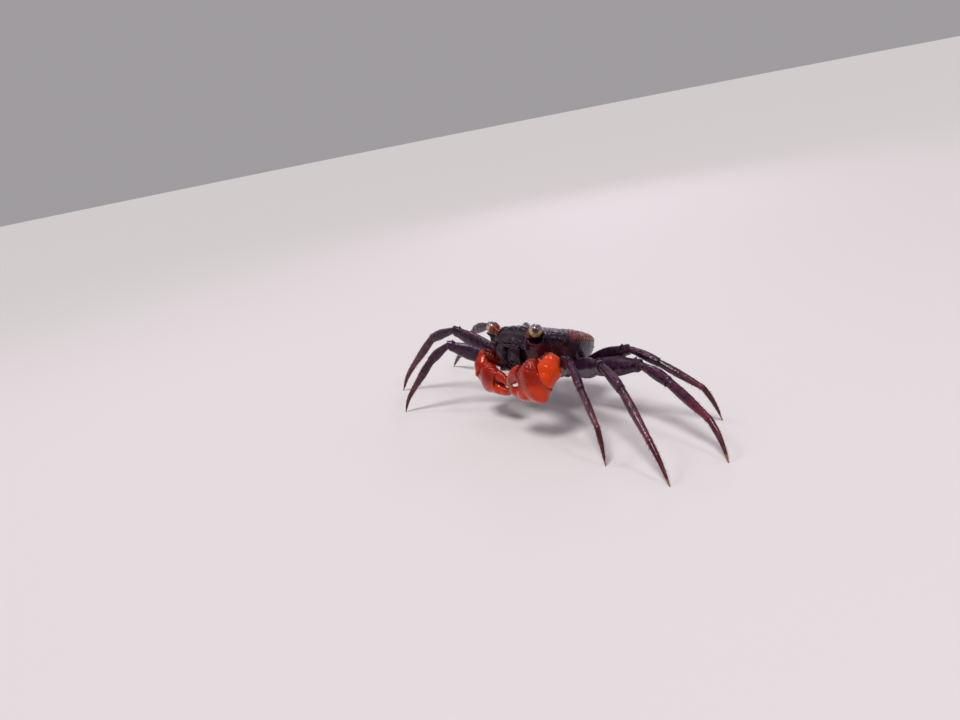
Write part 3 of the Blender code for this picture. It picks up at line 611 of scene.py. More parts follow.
def colour_carapace(mesh, points):
    """The shares of rust at the rear of the back, and of dark red on the cheeks and lower side walls."""
    x, y, edge = np.abs(points[:, 0]), points[:, 1], over_margin(points)
    above = ramp(-0.5, 0.5, edge + 0.3 * waves(points, 0.9))
    cloud = 1.3 * waves(points, 2.6) + 0.8 * waves(points, 1.1) + 0.4 * waves(points, 0.5)
    below = ramp(-0.7, -1.8, edge + 0.5 * waves(points, 1.5))
    keep(mesh, patch=above * ramp(-2.8, 4.0, y + 0.3 * x - 1.0 + cloud),
         tint=0.75 * below * ramp(3.6, 5.4, x) * ramp(2.0, -2.5, y))


def carapace_skin():
    """The upper shell down to the seam above the legs, with front, lobes, teeth and eye sockets."""
    seam = Vector((0, 0, SEAM_HEIGHT + GAP / 2))
    bodies = [body_blank(48, (seam, UP)), front_plate()]
    hollows = [ellipsoid(HOLLOW_CENTRE, HOLLOW_RADII)]
    for side in SIDES:
        bodies += [ellipsoid(mirrored(centre, side), LOBE_RADII) for centre in LOBE_CENTRES]
        bodies += [spine(*[mirrored(p * WIDTH, side) for p in (root, tip)], radius)
                   for root, tip, radius in MARGIN_TEETH]
        hollows += [ellipsoid(mirrored(ORBIT_CENTRE, side), ORBIT_RADII),
                    ellipsoid(mirrored(EYE_CENTRE, side), (EYE_RADIUS + 0.2,) * 3), stalk_body(side, 0.15)]
    hollows += [moved(bm, TO_SHELL) for bm in coxae(grow=0.2)]
    mesh = fused(carved(fused(bodies, BODY_VOXEL, 3), hollows), BODY_VOXEL, 3)
    points = points_of(mesh)
    emboss(mesh, back_heights(points) + wall_heights(points))
    points = points_of(mesh)
    colour_carapace(mesh, points)
    mark_wall_bristles(mesh, points)
    return posed(mesh)


def posed(mesh):
    """The mesh carried from the shell frame to the ground frame."""
    mesh.transform(BODY_POSE)
    return mesh


def shell_points(mesh):
    """The points of a mesh that stands in the ground frame, as the shell frame has them."""
    back = np.array(TO_SHELL)
    return points_of(mesh) @ back[:3, :3].T + back[:3, 3]


def thorax_skin():
    """The under body below the seam, with the root pieces of all ten limbs."""
    seam = Vector((0, 0, SEAM_HEIGHT - SKIN_GAP / 2))
    mesh = fused([moved(body_blank(36, (seam, DOWN)), BODY_POSE), *coxae()], THORAX_VOXEL, 4)
    points = shell_points(mesh)
    x, y = np.abs(points[:, 0]), points[:, 1]
    below = ramp(-3.2, -3.9, points[:, 2])
    sutures = sum(hump(y - at - 0.22 * x, 0.16) for at in SUTURES)
    heights = -0.22 * sutures * below * ramp(2.2, 2.9, x) - 0.2 * hump(x, 0.2) * below
    emboss(mesh, heights + 0.03 * granules(points, 0.35) + 0.05 * waves(points, 1.1), patch=0.5 * below)
    return mesh


def plate_on_body(outline, rows, across, inner, outer):
    """A plate along the body. outline(u, v) gives points to move onto it, u in -1..1."""
    rings = []
    for j in range(rows + 1):
        v = j / rows
        places = [(u, outline(u, v)) for u in (-1 + 2 * i / across for i in range(across + 1))]
        low = [on_body(p, inner) for _, p in places]
        rings.append(low + [on_body(p, outer(u, v)) for u, p in reversed(places)])
    return loft(rings)


def pleon_outline(u, v):
    """The plan of the tail: v runs from its root on the rear wall to its tip under the thorax."""
    half = PLEON_TIP_HALF + (PLEON_ROOT_HALF - PLEON_TIP_HALF) * sqrt(1 - v)
    fall = radians(PLEON_FALLS[0] + (PLEON_FALLS[1] - PLEON_FALLS[0]) * v)
    return Vector((u * half, PLEON_REACH * cos(fall), MARGIN_HEIGHT - PLEON_REACH * sin(fall)))


def row_frame():
    """From the ground frame to the row frame in metres, found by the tail as the solids have it."""
    def outer(u, v):
        ribs = 0.12 * abs(sin(PLEON_JOINTS * pi * v))
        return GAP + 0.65 + ribs - 0.25 * u * u
    bm = moved(plate_on_body(pleon_outline, 2 * PLEON_JOINTS, 8, GAP + 0.1, outer), BODY_POSE)
    corners = np.array([v.co for v in bm.verts])
    bm.free()
    low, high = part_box("pleon")
    shift = (low + high) / 2 - Vector((corners.min(0) + corners.max(0)) / 2) * MM
    return Matrix.Translation(shift) @ Matrix.Scale(MM, 4)


ROW_FRAME = row_frame()


def pleon_skin():
    """The seven joints of the tail, domed across, each ending in a raised edge before the next groove."""
    def outer(u, v):
        step = (PLEON_JOINTS * v) % 1.0
        plate = 0.22 * (1 - (1 - step) ** 8) * (1 - step ** 14) + 0.07 * hump(step - 0.86, 0.1)
        side = sqrt(max(0.0, 1 - abs(u) ** 4.5))
        root = sqrt(1 - (1 - min(1.0, v / 0.11)) ** 2)
        return 0.1 + (GAP + 0.38 + plate - 0.1 * u * u + 0.08 * hump(u, 0.3)) * side * root
    mesh = posed(as_mesh(plate_on_body(pleon_outline, 24 * PLEON_JOINTS, 44, 0.04, outer)))
    points = shell_points(mesh)
    emboss(mesh, 0.02 * granules(points, 0.3) + 0.03 * waves(points, 0.9),
           patch=ramp(6.2, 3.0, points[:, 1]) * (0.45 + 0.25 * waves(points, 1.5)))
    return mesh


def maxilliped_skin(side):
    """The third maxilliped: merus, ischium with its slanting ridge, palp and outer branch."""
    def outline(u, v):
        rise = cos(pi * (0.04 + 0.92 * v))
        half = (1.3 - 0.25 * v) * (1 - abs(rise) ** 4) ** 0.25
        return mirrored((1.75 - 0.25 * v + u * half, -7.3 + 1.1 * v, -2.3 + 2.6 * rise), side)

    def outer(u, v):
        dome = 0.55 * sqrt(max(0.0, 1 - u * u)) * sin(pi * v) ** 0.5
        groove = 0.42 * hump(v - 0.45, 0.028)
        ridge = 0.16 * hump(v - 0.62 + 0.22 * u, 0.03) + 0.1 * hump(v - 0.2 - 0.1 * u, 0.03)
        return GAP + 0.65 + dome - groove + ridge

    def along_plate(start, end, swell):
        def place(t):
            u, v = (a + (b - a) * t for a, b in zip(start, end))
            return on_body(outline(u, v), swell + 0.25 * sin(pi * t))
        return place

    def palp_radius(t):
        return 0.32 - 0.14 * t - 0.07 * hump(t - 0.36, 0.03) - 0.06 * hump(t - 0.68, 0.03)

    def branch_radius(t):
        return 0.3 * bulge(t, 0.5, 1.0, 0.6, 0.6)
    mesh = fused([
        plate_on_body(outline, 70, 30, GAP, outer),
        rod(along_plate((-0.35, 0.1), (-0.85, 0.5), 1.15), palp_radius),
        rod(along_plate((1.12, 0.14), (1.05, 0.86), 0.65), branch_radius),
    ], FINE_VOXEL, 2)
    points = points_of(mesh)
    z = points[:, 2]
    emboss(mesh, 0.03 * granules(points, 0.28) + 0.03 * waves(points, 0.8),
           patch=0.05 + 0.1 * ramp(-1.0, 0.2, z))
    mark_bristles(mesh, DOWN, 0.5 * hump(z + 3.0, 0.8) + 0.25, body_unwrap(points))
    return posed(mesh)


# Eyes, feelers and the mouth field

def eye_skins(side):
    """The eyestalk with its swollen end, and the cornea that caps it."""
    root, centre = (mirrored(p, side) for p in (STALK_ROOT, EYE_CENTRE))
    axis = (centre - root).normalized()
    seam = centre - axis * (0.42 * EYE_RADIUS)
    collar = ellipsoid(centre - axis * 0.2, (1.02 * EYE_RADIUS, 1.02 * EYE_RADIUS, 0.98 * EYE_RADIUS))
    stalk = fused([trim(stalk_body(side), (seam - axis * 0.1, -axis)),
                   trim(collar, (seam - axis * 0.04, -axis))], 0.07, 3)
    points = points_of(stalk)
    emboss(stalk, 0.02 * waves(points, 0.5) + 0.015 * granules(points, 0.2),
           patch=ramp(-0.75, -0.15, *along_ways(points, seam, axis)))
    cornea = as_mesh(trim(ellipsoid(centre, (EYE_RADIUS,) * 3, 72, 48), (seam + axis * 0.02, axis)))
    points = points_of(cornea)
    # The pseudopupil's way faces the camera and the crown's way is up: both mark painted light on the cornea.
    ways = [mirrored(way, side).normalized() / EYE_RADIUS for way in (GAZE, EYE_REFLECTION_CROWN)]
    pupil, crown = along_ways(points, centre, *ways)
    keep(cornea, pupil=pupil, crown=crown, rim=along_ways(points, seam, axis)[0])
    return posed(stalk), posed(cornea)


def antenna_skin(side):
    """A feeler: two stout root joints beside the front and a ringed whip."""
    def radius(t):
        ring = 0.05 * hump(sin(20 * pi * t), 0.5) * ramp(0.25, 0.4, t)
        return 0.42 - 0.17 * ramp(0.1, 0.45, t) - 0.17 * t - 0.1 * hump(t - 0.2, 0.04) - ring
    mesh = as_mesh(rod(curve([mirrored(p, side) for p in ANTENNA_PATH]), radius, 120, 14))
    keep(mesh, patch=ramp(6.2, 7.6, np.abs(points_of(mesh)[:, 0])), relief=0.0)
    return posed(mesh)


def mouth_field():
    """The ridge over the mouth and the two small feelers folded into their pits under the front."""
    ridge = [Vector(p) for p in ((-2.9, -7.75, 0.35), (0, -8.35, 0.6), (2.9, -7.75, 0.35))]
    bodies = [rod(curve(ridge), lambda t: 0.3 + 0.08 * hump(t - 0.5, 0.08), 60)]
    for side in SIDES:
        folded = [mirrored(p, side) for p in ((0.45, -7.5, 1.15), (1.5, -8.3, 1.1), (2.7, -7.5, 1.0))]
        bodies.append(rod(curve(folded), lambda t: 0.33 * bulge(t, 0.5, 1.0, 0.4, 0.4)))
        bodies.append(ellipsoid(mirrored((4.1, -7.7, 0.55), side), (0.6, 0.5, 0.5)))
    mesh = fused(bodies, FINE_VOXEL, 2)
    emboss(mesh, 0.02 * granules(points_of(mesh), 0.25), patch=0.1)
    return posed(mesh)


# Bristles: where they grow, which way they lean, and their places on an unwrap

def mark_bristles(mesh, lean, share, unwrap):
    """Stores how thickly bristles grow, the direction that they lean to and their unwrap."""
    keep(mesh, bristle=np.clip(share, 0, 1), lean=np.tile(np.array(lean), (len(share), 1)), unwrap=unwrap)


def body_unwrap(points):
    """The body's surface laid out by direction from its middle, from 0 to 1 both ways."""
    turn = np.arctan2(points[:, 0], -points[:, 1]) / TURN + 0.5
    reach = np.linalg.norm(points, axis=1) + 1e-6
    rise = np.arccos(np.clip(points[:, 2] / reach, -1, 1)) / pi
    return np.stack([turn, rise, 0 * turn], 1)


def mark_wall_bristles(mesh, points):
    """Short hooked hairs in slanting rows on the side walls, and a few in front."""
    x, y, z = np.abs(points[:, 0]), points[:, 1], points[:, 2]
    edge = over_margin(points)
    rows = hump(np.sin(pi * (z * 0.9 + y * 0.55) / 0.62), 0.3)
    wall = ramp(-0.5, -1.0, edge) * ramp(SEAM_HEIGHT + 0.2, SEAM_HEIGHT + 0.6, z)
    front = 0.5 * ramp(-0.3, 0.3, edge) * ramp(-4.6, -5.6, y)
    share = rows * wall * ramp(2, 5, x) + 0.3 * front
    mark_bristles(mesh, Vector((0, -0.55, -0.8)), share, body_unwrap(points))


def limb_places(points, start, end, up):
    """For each point: share of the limb piece's length, and its turn round the axis in radians."""
    axis, side, _ = axes(start, end, up)
    along, wide, high = along_ways(points, start, axis, side, np.cross(side, axis))
    return along / (end - start).length, np.arctan2(high, wide)


def mark_limb_bristles(mesh, axis, share, along, turn, tile):
    """As mark_bristles, with the piece unrolled into one of four tiles of the unwrap."""
    shares = ((turn / TURN + 0.5, tile % 2), (np.clip(along, 0, 1), tile // 2))
    flat = [place * 0.46 + 0.02 + 0.5 * shift for place, shift in shares]
    mark_bristles(mesh, axis, share, np.stack([*flat, 0 * along], 1))


# Walking legs

def leg_skins(side, number):
    """The skins of a walking leg's four pieces, and the soft skin that shows in its joints."""
    joints, up = leg_joints(side, number)
    stout = LEG_STOUTNESS[number]
    first = joints[0] - root_level(*joints[:2])
    normals = [between(*trio) for trio in zip((first, *joints), joints, joints[1:])]
    skins = {}
    for rank, (part, widths, heights, at, arch, keel) in enumerate(LEG_SHAPES):
        def half(t, sizes, at=at):
            rim = 0.05 * hump(t - 0.96, 0.03) - 0.04 * hump(t - 0.9, 0.03)
            return stout * (bulge(t, *sizes, at) + rim)
        start, end = joints[rank:rank + 2]
        half_width, half_height = (partial(half, sizes=sizes) for sizes in (widths, heights))
        bm = segment(start, end, up, half_width, half_height, 30, 44, arch, keel)
        bodies = [trim(bm, *ends(start, normals[rank], end, normals[rank + 1]))]
        if part == "merus":
            bodies.append(merus_spine(start, end, up, stout))
        skins[part] = fused(bodies, LIMB_VOXEL, 2)
        dress_leg_piece(skins[part], rank, start, end, up)
    skins["dactylus"] = dactylus_skin(joints[3], joints[4], up, stout, normals[3])
    return skins, hinges(joints, normals, LEG_HINGES, stout, 20, 14)


def hinges(joints, normals, sizes, stout, sides, rings):
    """The soft skin in a limb's joints."""
    return [ellipsoid(joint, [size * stout for size in radii], sides, rings, facing(normal, "X", "Z"))
            for joint, normal, radii in zip(joints, normals, sizes)]


def merus_spine(start, end, up, stout):
    """The sharp spine on the upper edge of a merus, just short of the knee."""
    axis, _, top = axes(start, end, up)
    root = start.lerp(end, 0.86) + top * (0.45 * stout)
    return spine(root, root + axis * 1.15 + top * (0.95 * stout), 0.45)


def dress_leg_piece(mesh, rank, start, end, up):
    """Relief, colour share and bristles of merus (rank 0), carpus (1) or propodus (2)."""
    keel, fold, rust, more_rust, hairy, hairy_rim = LEG_LOOKS[rank]
    points = points_of(mesh)
    along, turn = limb_places(points, start, end, up)
    across, upward = np.cos(turn), np.sin(turn)
    reach = along * (end - start).length
    upper = ramp(-0.3, 0.6, upward)
    keels = keel * (hump(across - 0.55, 0.13) + hump(across + 0.55, 0.13)) * upper
    saw = 0.075 * hump(across, 0.14) * upper * comb(reach + 0.3 * waves(points, 1.4), 0.42)
    wrinkle = comb(reach + 0.35 * upward + 0.7 * waves(points, 1.3), 0.62) ** 4
    patchy = ramp(-0.2, 0.35, waves(points, 0.7))
    folds = fold * wrinkle * upper * patchy * (1 - hump(across, 0.2))
    heights = within(along, 0.02, 0.12, 0.9, 0.99) * (keels + saw + folds)
    emboss(mesh, heights + 0.022 * granules(points, 0.26) + 0.03 * waves(points, 0.8),
           patch=np.clip(rust + more_rust * along ** 2, 0, 1))
    thick = hairy + 0.6 * (rank == 2) * ramp(0.3, 1.0, along)
    edges = 0.35 + 0.65 * np.maximum(hump(across, 0.3), 0.8 * hump(np.abs(upward) - 0.2, 0.25))
    share = thick * edges + hairy_rim * hump(along - 0.95, 0.04)
    mark_limb_bristles(mesh, (end - start).normalized(), share, along, turn, rank)


def dactylus_skin(joint, tip, up, stout, normal, count=60, sides=24):
    """The last piece of a leg: a slim fluted claw that ends in a horny point on the floor."""
    length = (tip - joint).length
    axis, side, top = axes(joint, tip, up)
    thick, thin = DACTYLUS_RADII
    rings = []
    for i in range(count):
        t = -0.12 + 1.2 * i / (count - 1)
        centre = joint + axis * (length * t) + top * (DACTYLUS_BOW * sin(pi * min(1.0, max(0.0, t))))
        radius = stout * (thick - (thick - thin) * ramp(0.0, 1.1, t)) - 0.07 * ramp(0.8, 1.0, t)
        ring = []
        for k in range(sides):
            a = TURN * (k + 0.5) / sides
            flute = 1 + 0.07 * cos(6 * a) * within(t, 0.1, 0.3, 0.75, 0.9)
            ring.append(centre + (side * cos(a) + top * 1.15 * sin(a)) * (radius * flute))
        rings.append(ring)
    mesh = as_mesh(trim(loft(rings), (joint + normal * (SKIN_GAP / 2), normal), (Vector(), UP)))
    along, turn = limb_places(points_of(mesh), joint, tip, up)
    keep(mesh, relief=0.02 * np.cos(6 * turn), patch=ramp(0.78, 0.9, along))
    share = (0.35 + 0.65 * hump(np.sin(3 * turn), 0.5)) * within(along, -0.02, 0.08, 0.7, 0.86)
    mark_limb_bristles(mesh, axis, share, along, turn, 3)
    return mesh


# Claw legs

def claw_frame(side):
    """Axis along the claw, direction of its upper edge, and direction its outer face looks."""
    _, _, wrist, tip = claw_joints(side)
    axis = (tip - wrist).normalized()
    outer = Vector((0, -1, 0.0))
    outer = (outer - axis * outer.dot(axis)).normalized()
    top = axis.cross(outer) if side == "left" else outer.cross(axis)
    return axis, top.normalized(), outer


def finger_half(sizes, size, t):
    """Half the height or width of a finger at a share of its length: full at first, then tapered."""
    root, tip = sizes
    return tip + (root * size - tip) * (1 - t) ** 0.75


def finger(base, ways, shape, length, size, first, last, count=44, sides=26):
    """A curved, tapered finger and the blunt teeth of its cutting edge, uneven and larger in the middle.

    Its middle line starts at first and ends at last along the claw's axis. ways are those of claw_frame.
    """
    axis, top, outer = ways
    root_rise, bend_rise, high_sizes, wide_sizes = shape
    tip_rise = copysign(FINGER_TIP_RISE, root_rise)
    path = ((first, 0.52 * length, last), (root_rise * size, bend_rise * size, tip_rise))
    rings, teeth = [], []
    for i in range(count):
        t = i / (count - 1)
        along, rise = (curve(line)(t) for line in path)
        slope_along, slope_rise = ((b - a) * (1 - t) + (c - b) * t for a, b, c in path)
        way = (axis * slope_along + top * slope_rise).normalized()
        lift = outer.cross(way).normalized()
        if lift.dot(top) < 0:
            lift = -lift
        shrink = max(0.3, sqrt(1 - t ** 6))
        high, wide = (finger_half(sizes, size, t) * shrink for sizes in (high_sizes, wide_sizes))
        centre = base + axis * along + top * rise
        rings.append([centre + lift * high * sin(a) + outer * wide * cos(a)
                      for a in (TURN * (k + 0.5) / sides for k in range(sides))])
    for number in range(FINGER_TEETH):
        t = 0.2 + 0.66 * number / (FINGER_TEETH - 1)
        along, rise = (curve(line)(t) for line in path)
        radius = (0.17 + 0.1 * sin(pi * t) + 0.05 * (number % 3 == 1)) * size
        bite = copysign(finger_half(high_sizes, size, t) - 0.3 * radius, -root_rise)
        centre = base + axis * along + top * (rise + bite)
        teeth.append(ellipsoid(centre, (radius, radius, radius * 1.3), 14, 10))
    return [loft(rings), *teeth]


def carpus_spine(side, elbow, wrist, size):
    """The pointed tooth at the upper inner angle of a claw's carpus."""
    inward = mirrored((-0.62, -0.12, 0.78), side).normalized()
    root = elbow.lerp(wrist, 0.52) + inward * (1.1 * size)
    return spine(root, root + inward * (1.7 * size), 0.52 * size)


def claw_skins(side):
    """Merus, carpus, palm with fixed finger, and movable finger, with the soft skin of the joints."""
    root, elbow, wrist, tip = joints = claw_joints(side)
    size = CLAW_SIZE[side]
    axis, top, outer = ways = claw_frame(side)
    reach = (tip - wrist).length
    base = wrist + axis * (PALM_SHARE * reach)
    length = (1 - PALM_SHARE) * reach
    up = Vector((0, 0.3, 1))
    normals = (between(root - root_level(root, elbow), root, elbow), between(root, elbow, wrist),
               between(elbow, wrist, tip, WRIST_SHARE[side]))

    def piece(start, end, upwards, sizes, keel=0.0):
        half_width, half_height = (lambda t, swell=swell: size * bulge(t, *swell) for swell in sizes)
        return segment(start, end, upwards, half_width, half_height, 44, 44, 0.0, keel)
    merus = trim(piece(root, elbow, up, CLAW_MERUS, 0.08), *ends(root, normals[0], elbow, normals[1]))
    carpus = trim(piece(elbow, wrist, up, CLAW_CARPUS), *ends(elbow, normals[1], wrist, normals[2]))
    palm = piece(wrist, base, top, PALM)
    for vert in palm.verts:
        reach, high = (vert.co - wrist).dot(axis), (vert.co - wrist).dot(top)
        if high < 0:
            vert.co -= top * (0.42 * high * ramp(1.7 * size, -1.3 * size, reach))
    trim(palm, (wrist + normals[2] * (SKIN_GAP / 2), normals[2]), (base, -axis))
    square = Matrix((axis, outer, top)).transposed().to_4x4()
    knuckle = ellipsoid(base - top * (1.42 * size), [r * size for r in (2.0, 1.6, 1.5)], turn=square)
    fixed = finger(base, ways, FIXED_FINGER, length, size, -1.2, length)
    upper = finger(base, ways, UPPER_FINGER, length, size, GAP, length + 0.2)
    trim(upper[0], (base + axis * SKIN_GAP, axis))
    skins = {
        "merus": fused([merus], CLAW_VOXEL, 2),
        "carpus": fused([carpus, carpus_spine(side, elbow, wrist, size)], CLAW_VOXEL, 7),
        "palm": fused([palm, knuckle, *fixed], CLAW_VOXEL, 5),
        "finger": fused(upper, CLAW_VOXEL, 2),
    }
    dress_claw_arm(skins["merus"], root, elbow, up, 0)
    dress_claw_arm(skins["carpus"], elbow, wrist, up, 1, CARPUS_BRIGHTNESS[side])
    dress_palm(skins["palm"], wrist, base, ways, length, size)
    dress_finger(skins["finger"], base, ways, length, size)
    radii = [r * size for r in (0.75, 1.05, 1.35)]
    finger_hinge = ellipsoid(base + top * (1.35 * size), radii, 24, 16, square)
    return skins, [*hinges(joints, normals, CLAW_HINGES, size, 24, 16), finger_hinge]


def dress_claw_arm(mesh, start, end, up, tile, brightness=None):
    """A rough, saw-edged merus of darker red, or a carpus with fine grains and its brightness."""
    points = points_of(mesh)
    along, turn = limb_places(points, start, end, up)
    across, upward = np.cos(turn), np.sin(turn)
    upper = ramp(-0.5, 0.4, upward)
    fine = granules(points, 0.27)
    if brightness is None:
        reach = along * (end - start).length + 0.45 * waves(points, 0.9)
        saw = 0.12 * hump(across, 0.14) * comb(reach, 0.55)
        heights = upper * (0.04 * fine + 0.07 * comb(reach, 0.6) ** 2 * (0.3 + 0.7 * fine) + saw)
        colour = {"patch": 0.9}
    else:
        heights = 0.03 * fine * upper * ramp(-0.1, 0.3, waves(points, 1.1)) + 0.006 * fine
        colour = {"tint": brightness - 0.3 * ramp(0.2, 0.9, upward)}
    emboss(mesh, heights + 0.03 * waves(points, 1.5), **colour)
    mark_limb_bristles(mesh, (end - start).normalized(), 0.04 + 0.06 * upper, along, turn, tile)


def dress_palm(mesh, wrist, base, ways, finger_length, size):
    """Grains over the palm's upper and outer face, ridges on its top, and a horny finger tip."""
    points = points_of(mesh)
    reach, high, out = along_ways(points, wrist, *ways)
    high, out = high / size, out / size
    palm_length = (base - wrist).length
    on_palm = ramp(1.3, 0.0, reach - palm_length)
    fine = granules(points, 0.22)
    upper = ramp(-1.2, 1.4, high + 0.25 * out)
    crowd = 0.55 + 0.45 * ramp(-0.4, 0.4, waves(points, 1.6))
    rough = on_palm * upper * crowd * (0.07 * granules(points, 0.33) + 0.02 * fine)
    rough += 0.08 * comb(reach + 0.35 * out, 0.6) ** 2 * hump(high - 3.3, 0.5) * on_palm
    emboss(mesh, rough + 0.012 * fine * (1 - upper) + 0.06 * waves(points, 1.6),
           patch=0.32 * upper * on_palm, tint=0.55 * ramp(0.6, -2.2, high + 0.8 * waves(points, 1.5)),
           horn=ramp(*HORNY, (reach - palm_length) / finger_length))


def dress_finger(mesh, base, ways, finger_length, size):
    """A row of blunt bumps along the back of the movable finger, which ends in a horny tip."""
    points = points_of(mesh)
    reach, high, out = along_ways(points, base, *ways)
    share = reach / finger_length
    back = 2.55 * size * (1 - share) + 1.4 * size * share
    beads = comb(reach, 0.5) * hump(out, 0.28) * ramp(0.05, 0.5, high - back + 0.9 * size)
    grains = 0.05 * granules(points, 0.4) * ramp(0.7, 0.2, share)
    emboss(mesh, 0.12 * beads * ramp(0.85, 0.6, share) + grains, patch=0.15 * (1 - share),
           horn=ramp(*HORNY, share))


# Materials

def linear(hex_colour):
    """An sRGB hex colour as linear RGBA."""
    values = [int(hex_colour[i:i + 2], 16) / 255 for i in (1, 3, 5)]
    return (*[v / 12.92 if v <= 0.04045 else ((v + 0.055) / 1.055) ** 2.4 for v in values], 1.0)


def feed(tree, node, inputs):
    """Sets a node's inputs, each to a value, a hex colour, or another node's output."""
    for key, value in inputs.items():
        if isinstance(value, bpy.types.NodeSocket):
            tree.links.new(value, node.inputs[key])
        else:
            node.inputs[key].default_value = linear(value) if str(value).startswith("#") else value


def add(tree, kind, inputs=None, output=0, **settings):
    """Adds a node and gives one of its outputs."""
    node = settled(tree.nodes.new(kind), **settings)
    feed(tree, node, inputs or {})
    return node.outputs[output]


def maths(tree, operation, first, second):
    """A sum on two numbers."""
    return add(tree, "ShaderNodeMath", {0: first, 1: second}, operation=operation)


def blend(tree, share, low, high):
    """The colour between low and high at a share."""
    return add(tree, "ShaderNodeMix", {0: share, 6: low, 7: high}, 2, data_type="RGBA")


def stretch(tree, value, low, high, to_low=0.0, to_high=1.0):
    """A value moved from one range to another and held there."""
    inputs = {"Value": value, "From Min": low, "From Max": high, "To Min": to_low, "To Max": to_high}
    return add(tree, "ShaderNodeMapRange", inputs)


def attribute(tree, name):
    """A number that the piece keeps at each point."""
    return add(tree, "ShaderNodeAttribute", output="Fac", attribute_name=name)


def pattern(tree, kind, size_mm, **inputs):
    """Noise of a size, or for Voronoi the distance to the nearest cell's middle."""
    place = add(tree, "ShaderNodeTexCoord", output="Object")
    inputs.update(Vector=place, Scale=1 / (size_mm * MM))
    return add(tree, f"ShaderNodeTex{kind}", inputs, "Fac" if kind == "Noise" else "Distance")


def bumps(tree, height, strength, height_mm):
    """The normals of fine unevenness."""
    return add(tree, "ShaderNodeBump", {"Height": height, "Strength": strength, "Distance": height_mm * MM})


def new_material(name):
    """An empty node material, its tree and its Principled shader."""
    material = bpy.data.materials.new(name)
    material.use_nodes = True
    return material, material.node_tree, material.node_tree.nodes["Principled BSDF"]


def cuticle(name, deep, mid, patch, crest, tint=None, horn=None, gleam="#b893b4", roughness=(0.26, 0.44),
            coat=0.5, mottle_mm=1.4, bump=0.35):
    """Crab shell: chitin with lime, as it hardens after a moult, here wet.

    The wet film gives tight bright lights over a deep mottled colour. deep and mid mottle each other,
    patch and tint are a second and a third colour where the piece keeps shares of them, crest is a painted
    highlight on raised grains and ridges that also colours random flecks, deep is also painted shade in the
    hollows, and gleam colours the light that the shell under the film throws back.
    """
    material, tree, shader = new_material(name)
    mottle = pattern(tree, "Noise", mottle_mm, Detail=5.0, Roughness=0.6)
    speck = pattern(tree, "Noise", 0.3, Detail=3.0)
    wanted, relief = attribute(tree, "patch"), attribute(tree, "relief")
    uneven = maths(tree, "ADD", wanted, stretch(tree, mottle, 0.3, 0.7, -0.35, 0.35))
    limit = maths(tree, "MULTIPLY", wanted, 4.0)
    layers = [
        (maths(tree, "MINIMUM", stretch(tree, uneven, 0.15, 0.85), limit), patch),
        (attribute(tree, "tint"), tint),
        # Painted light: the crest colour is a painted highlight on raised relief, and the deep colour is
        # painted shade in the hollows.
        (stretch(tree, relief, 0.04, 0.2, 0.0, 0.55), crest),
        (stretch(tree, relief, -0.2, 0.0, 0.6, 0.0), deep),
        (stretch(tree, speck, 0.58, 0.72, 0.0, 0.35), crest),
        (attribute(tree, "horn"), horn),
    ]
    colour = blend(tree, stretch(tree, mottle, 0.38, 0.66), deep, mid)
    for share, layer in layers:
        if layer:
            colour = blend(tree, share, colour, layer)
    fine = maths(tree, "SUBTRACT", pattern(tree, "Voronoi", 0.16), speck)
    feed(tree, shader, {
        "Base Color": colour, "Roughness": stretch(tree, speck, 0.3, 0.7, *roughness),
        "Normal": bumps(tree, fine, bump, 0.04), "IOR": 1.45, "Specular IOR Level": 0.45,
        "Specular Tint": gleam, "Coat Weight": coat, "Coat Roughness": 0.09, "Coat IOR": 1.4,
    })
    return material


def cornea_material():
    """The eye's clear horn over its pigment: cream below, a painted mottled lilac reflection on the crown and
    one painted dark pseudopupil.
    """
    material, tree, shader = new_material("cornea, polished horn over cream pigment")
    mottle = pattern(tree, "Noise", 0.35, Detail=4.0)
    cream = blend(tree, stretch(tree, mottle, 0.35, 0.65), "#8d6c34", "#c9b377")
    # Painted reflection: the lilac mottle stands in for lilac light mirrored on the eye's upper half.
    lilac_reflection = blend(tree, stretch(tree, mottle, 0.4, 0.62), "#3d2a3a", "#8f7a8c")
    crown = stretch(tree, maths(tree, "ADD", attribute(tree, "crown"), mottle), 0.35, 0.75)
    colour = blend(tree, crown, cream, lilac_reflection)
    # The two pseudopupil rings are painted shade: the dark spot that a crab's eye shows only towards whoever
    # looks at it, fixed here facing the camera.
    for name, low, high, ring in (("rim", 0.3, 0.08, "#3a1a12"), ("pupil", 0.82, 0.9, "#5a3a2a"),
                                  ("pupil", 0.9, 0.94, "#0b0608")):
        colour = blend(tree, stretch(tree, attribute(tree, name), low, high), colour, ring)
    facets = bumps(tree, pattern(tree, "Voronoi", 0.07), 0.15, 0.01)
    feed(tree, shader, {"Base Color": colour, "Normal": facets, "Roughness": 0.18, "IOR": 1.5,
                        "Coat Weight": 1.0, "Coat Roughness": 0.04})
    return material


def membrane_material():
    """Soft joint skin: thin, creased, dark red-brown chitin with little gloss."""
    material, tree, shader = new_material("joint skin, soft creased chitin")
    crease = pattern(tree, "Noise", 0.25, Detail=3.0)
    colour = blend(tree, stretch(tree, crease, 0.35, 0.65), "#2a0d12", "#5a2522")
    feed(tree, shader, {"Base Color": colour, "Normal": bumps(tree, crease, 0.5, 0.04), "Roughness": 0.45})
    return material


def bristle_material():
    """Setae: stiff chitin hairs, dark at the root and amber where light passes their thin ends."""
    material, tree, shader = new_material("bristles, stiff amber chitin hair")
    colour = blend(tree, attribute(tree, "leaf"), "#2c1512", "#a86a3c")
    feed(tree, shader, {"Base Color": colour, "Roughness": 0.38})
    return material


# Bristles by Geometry Nodes

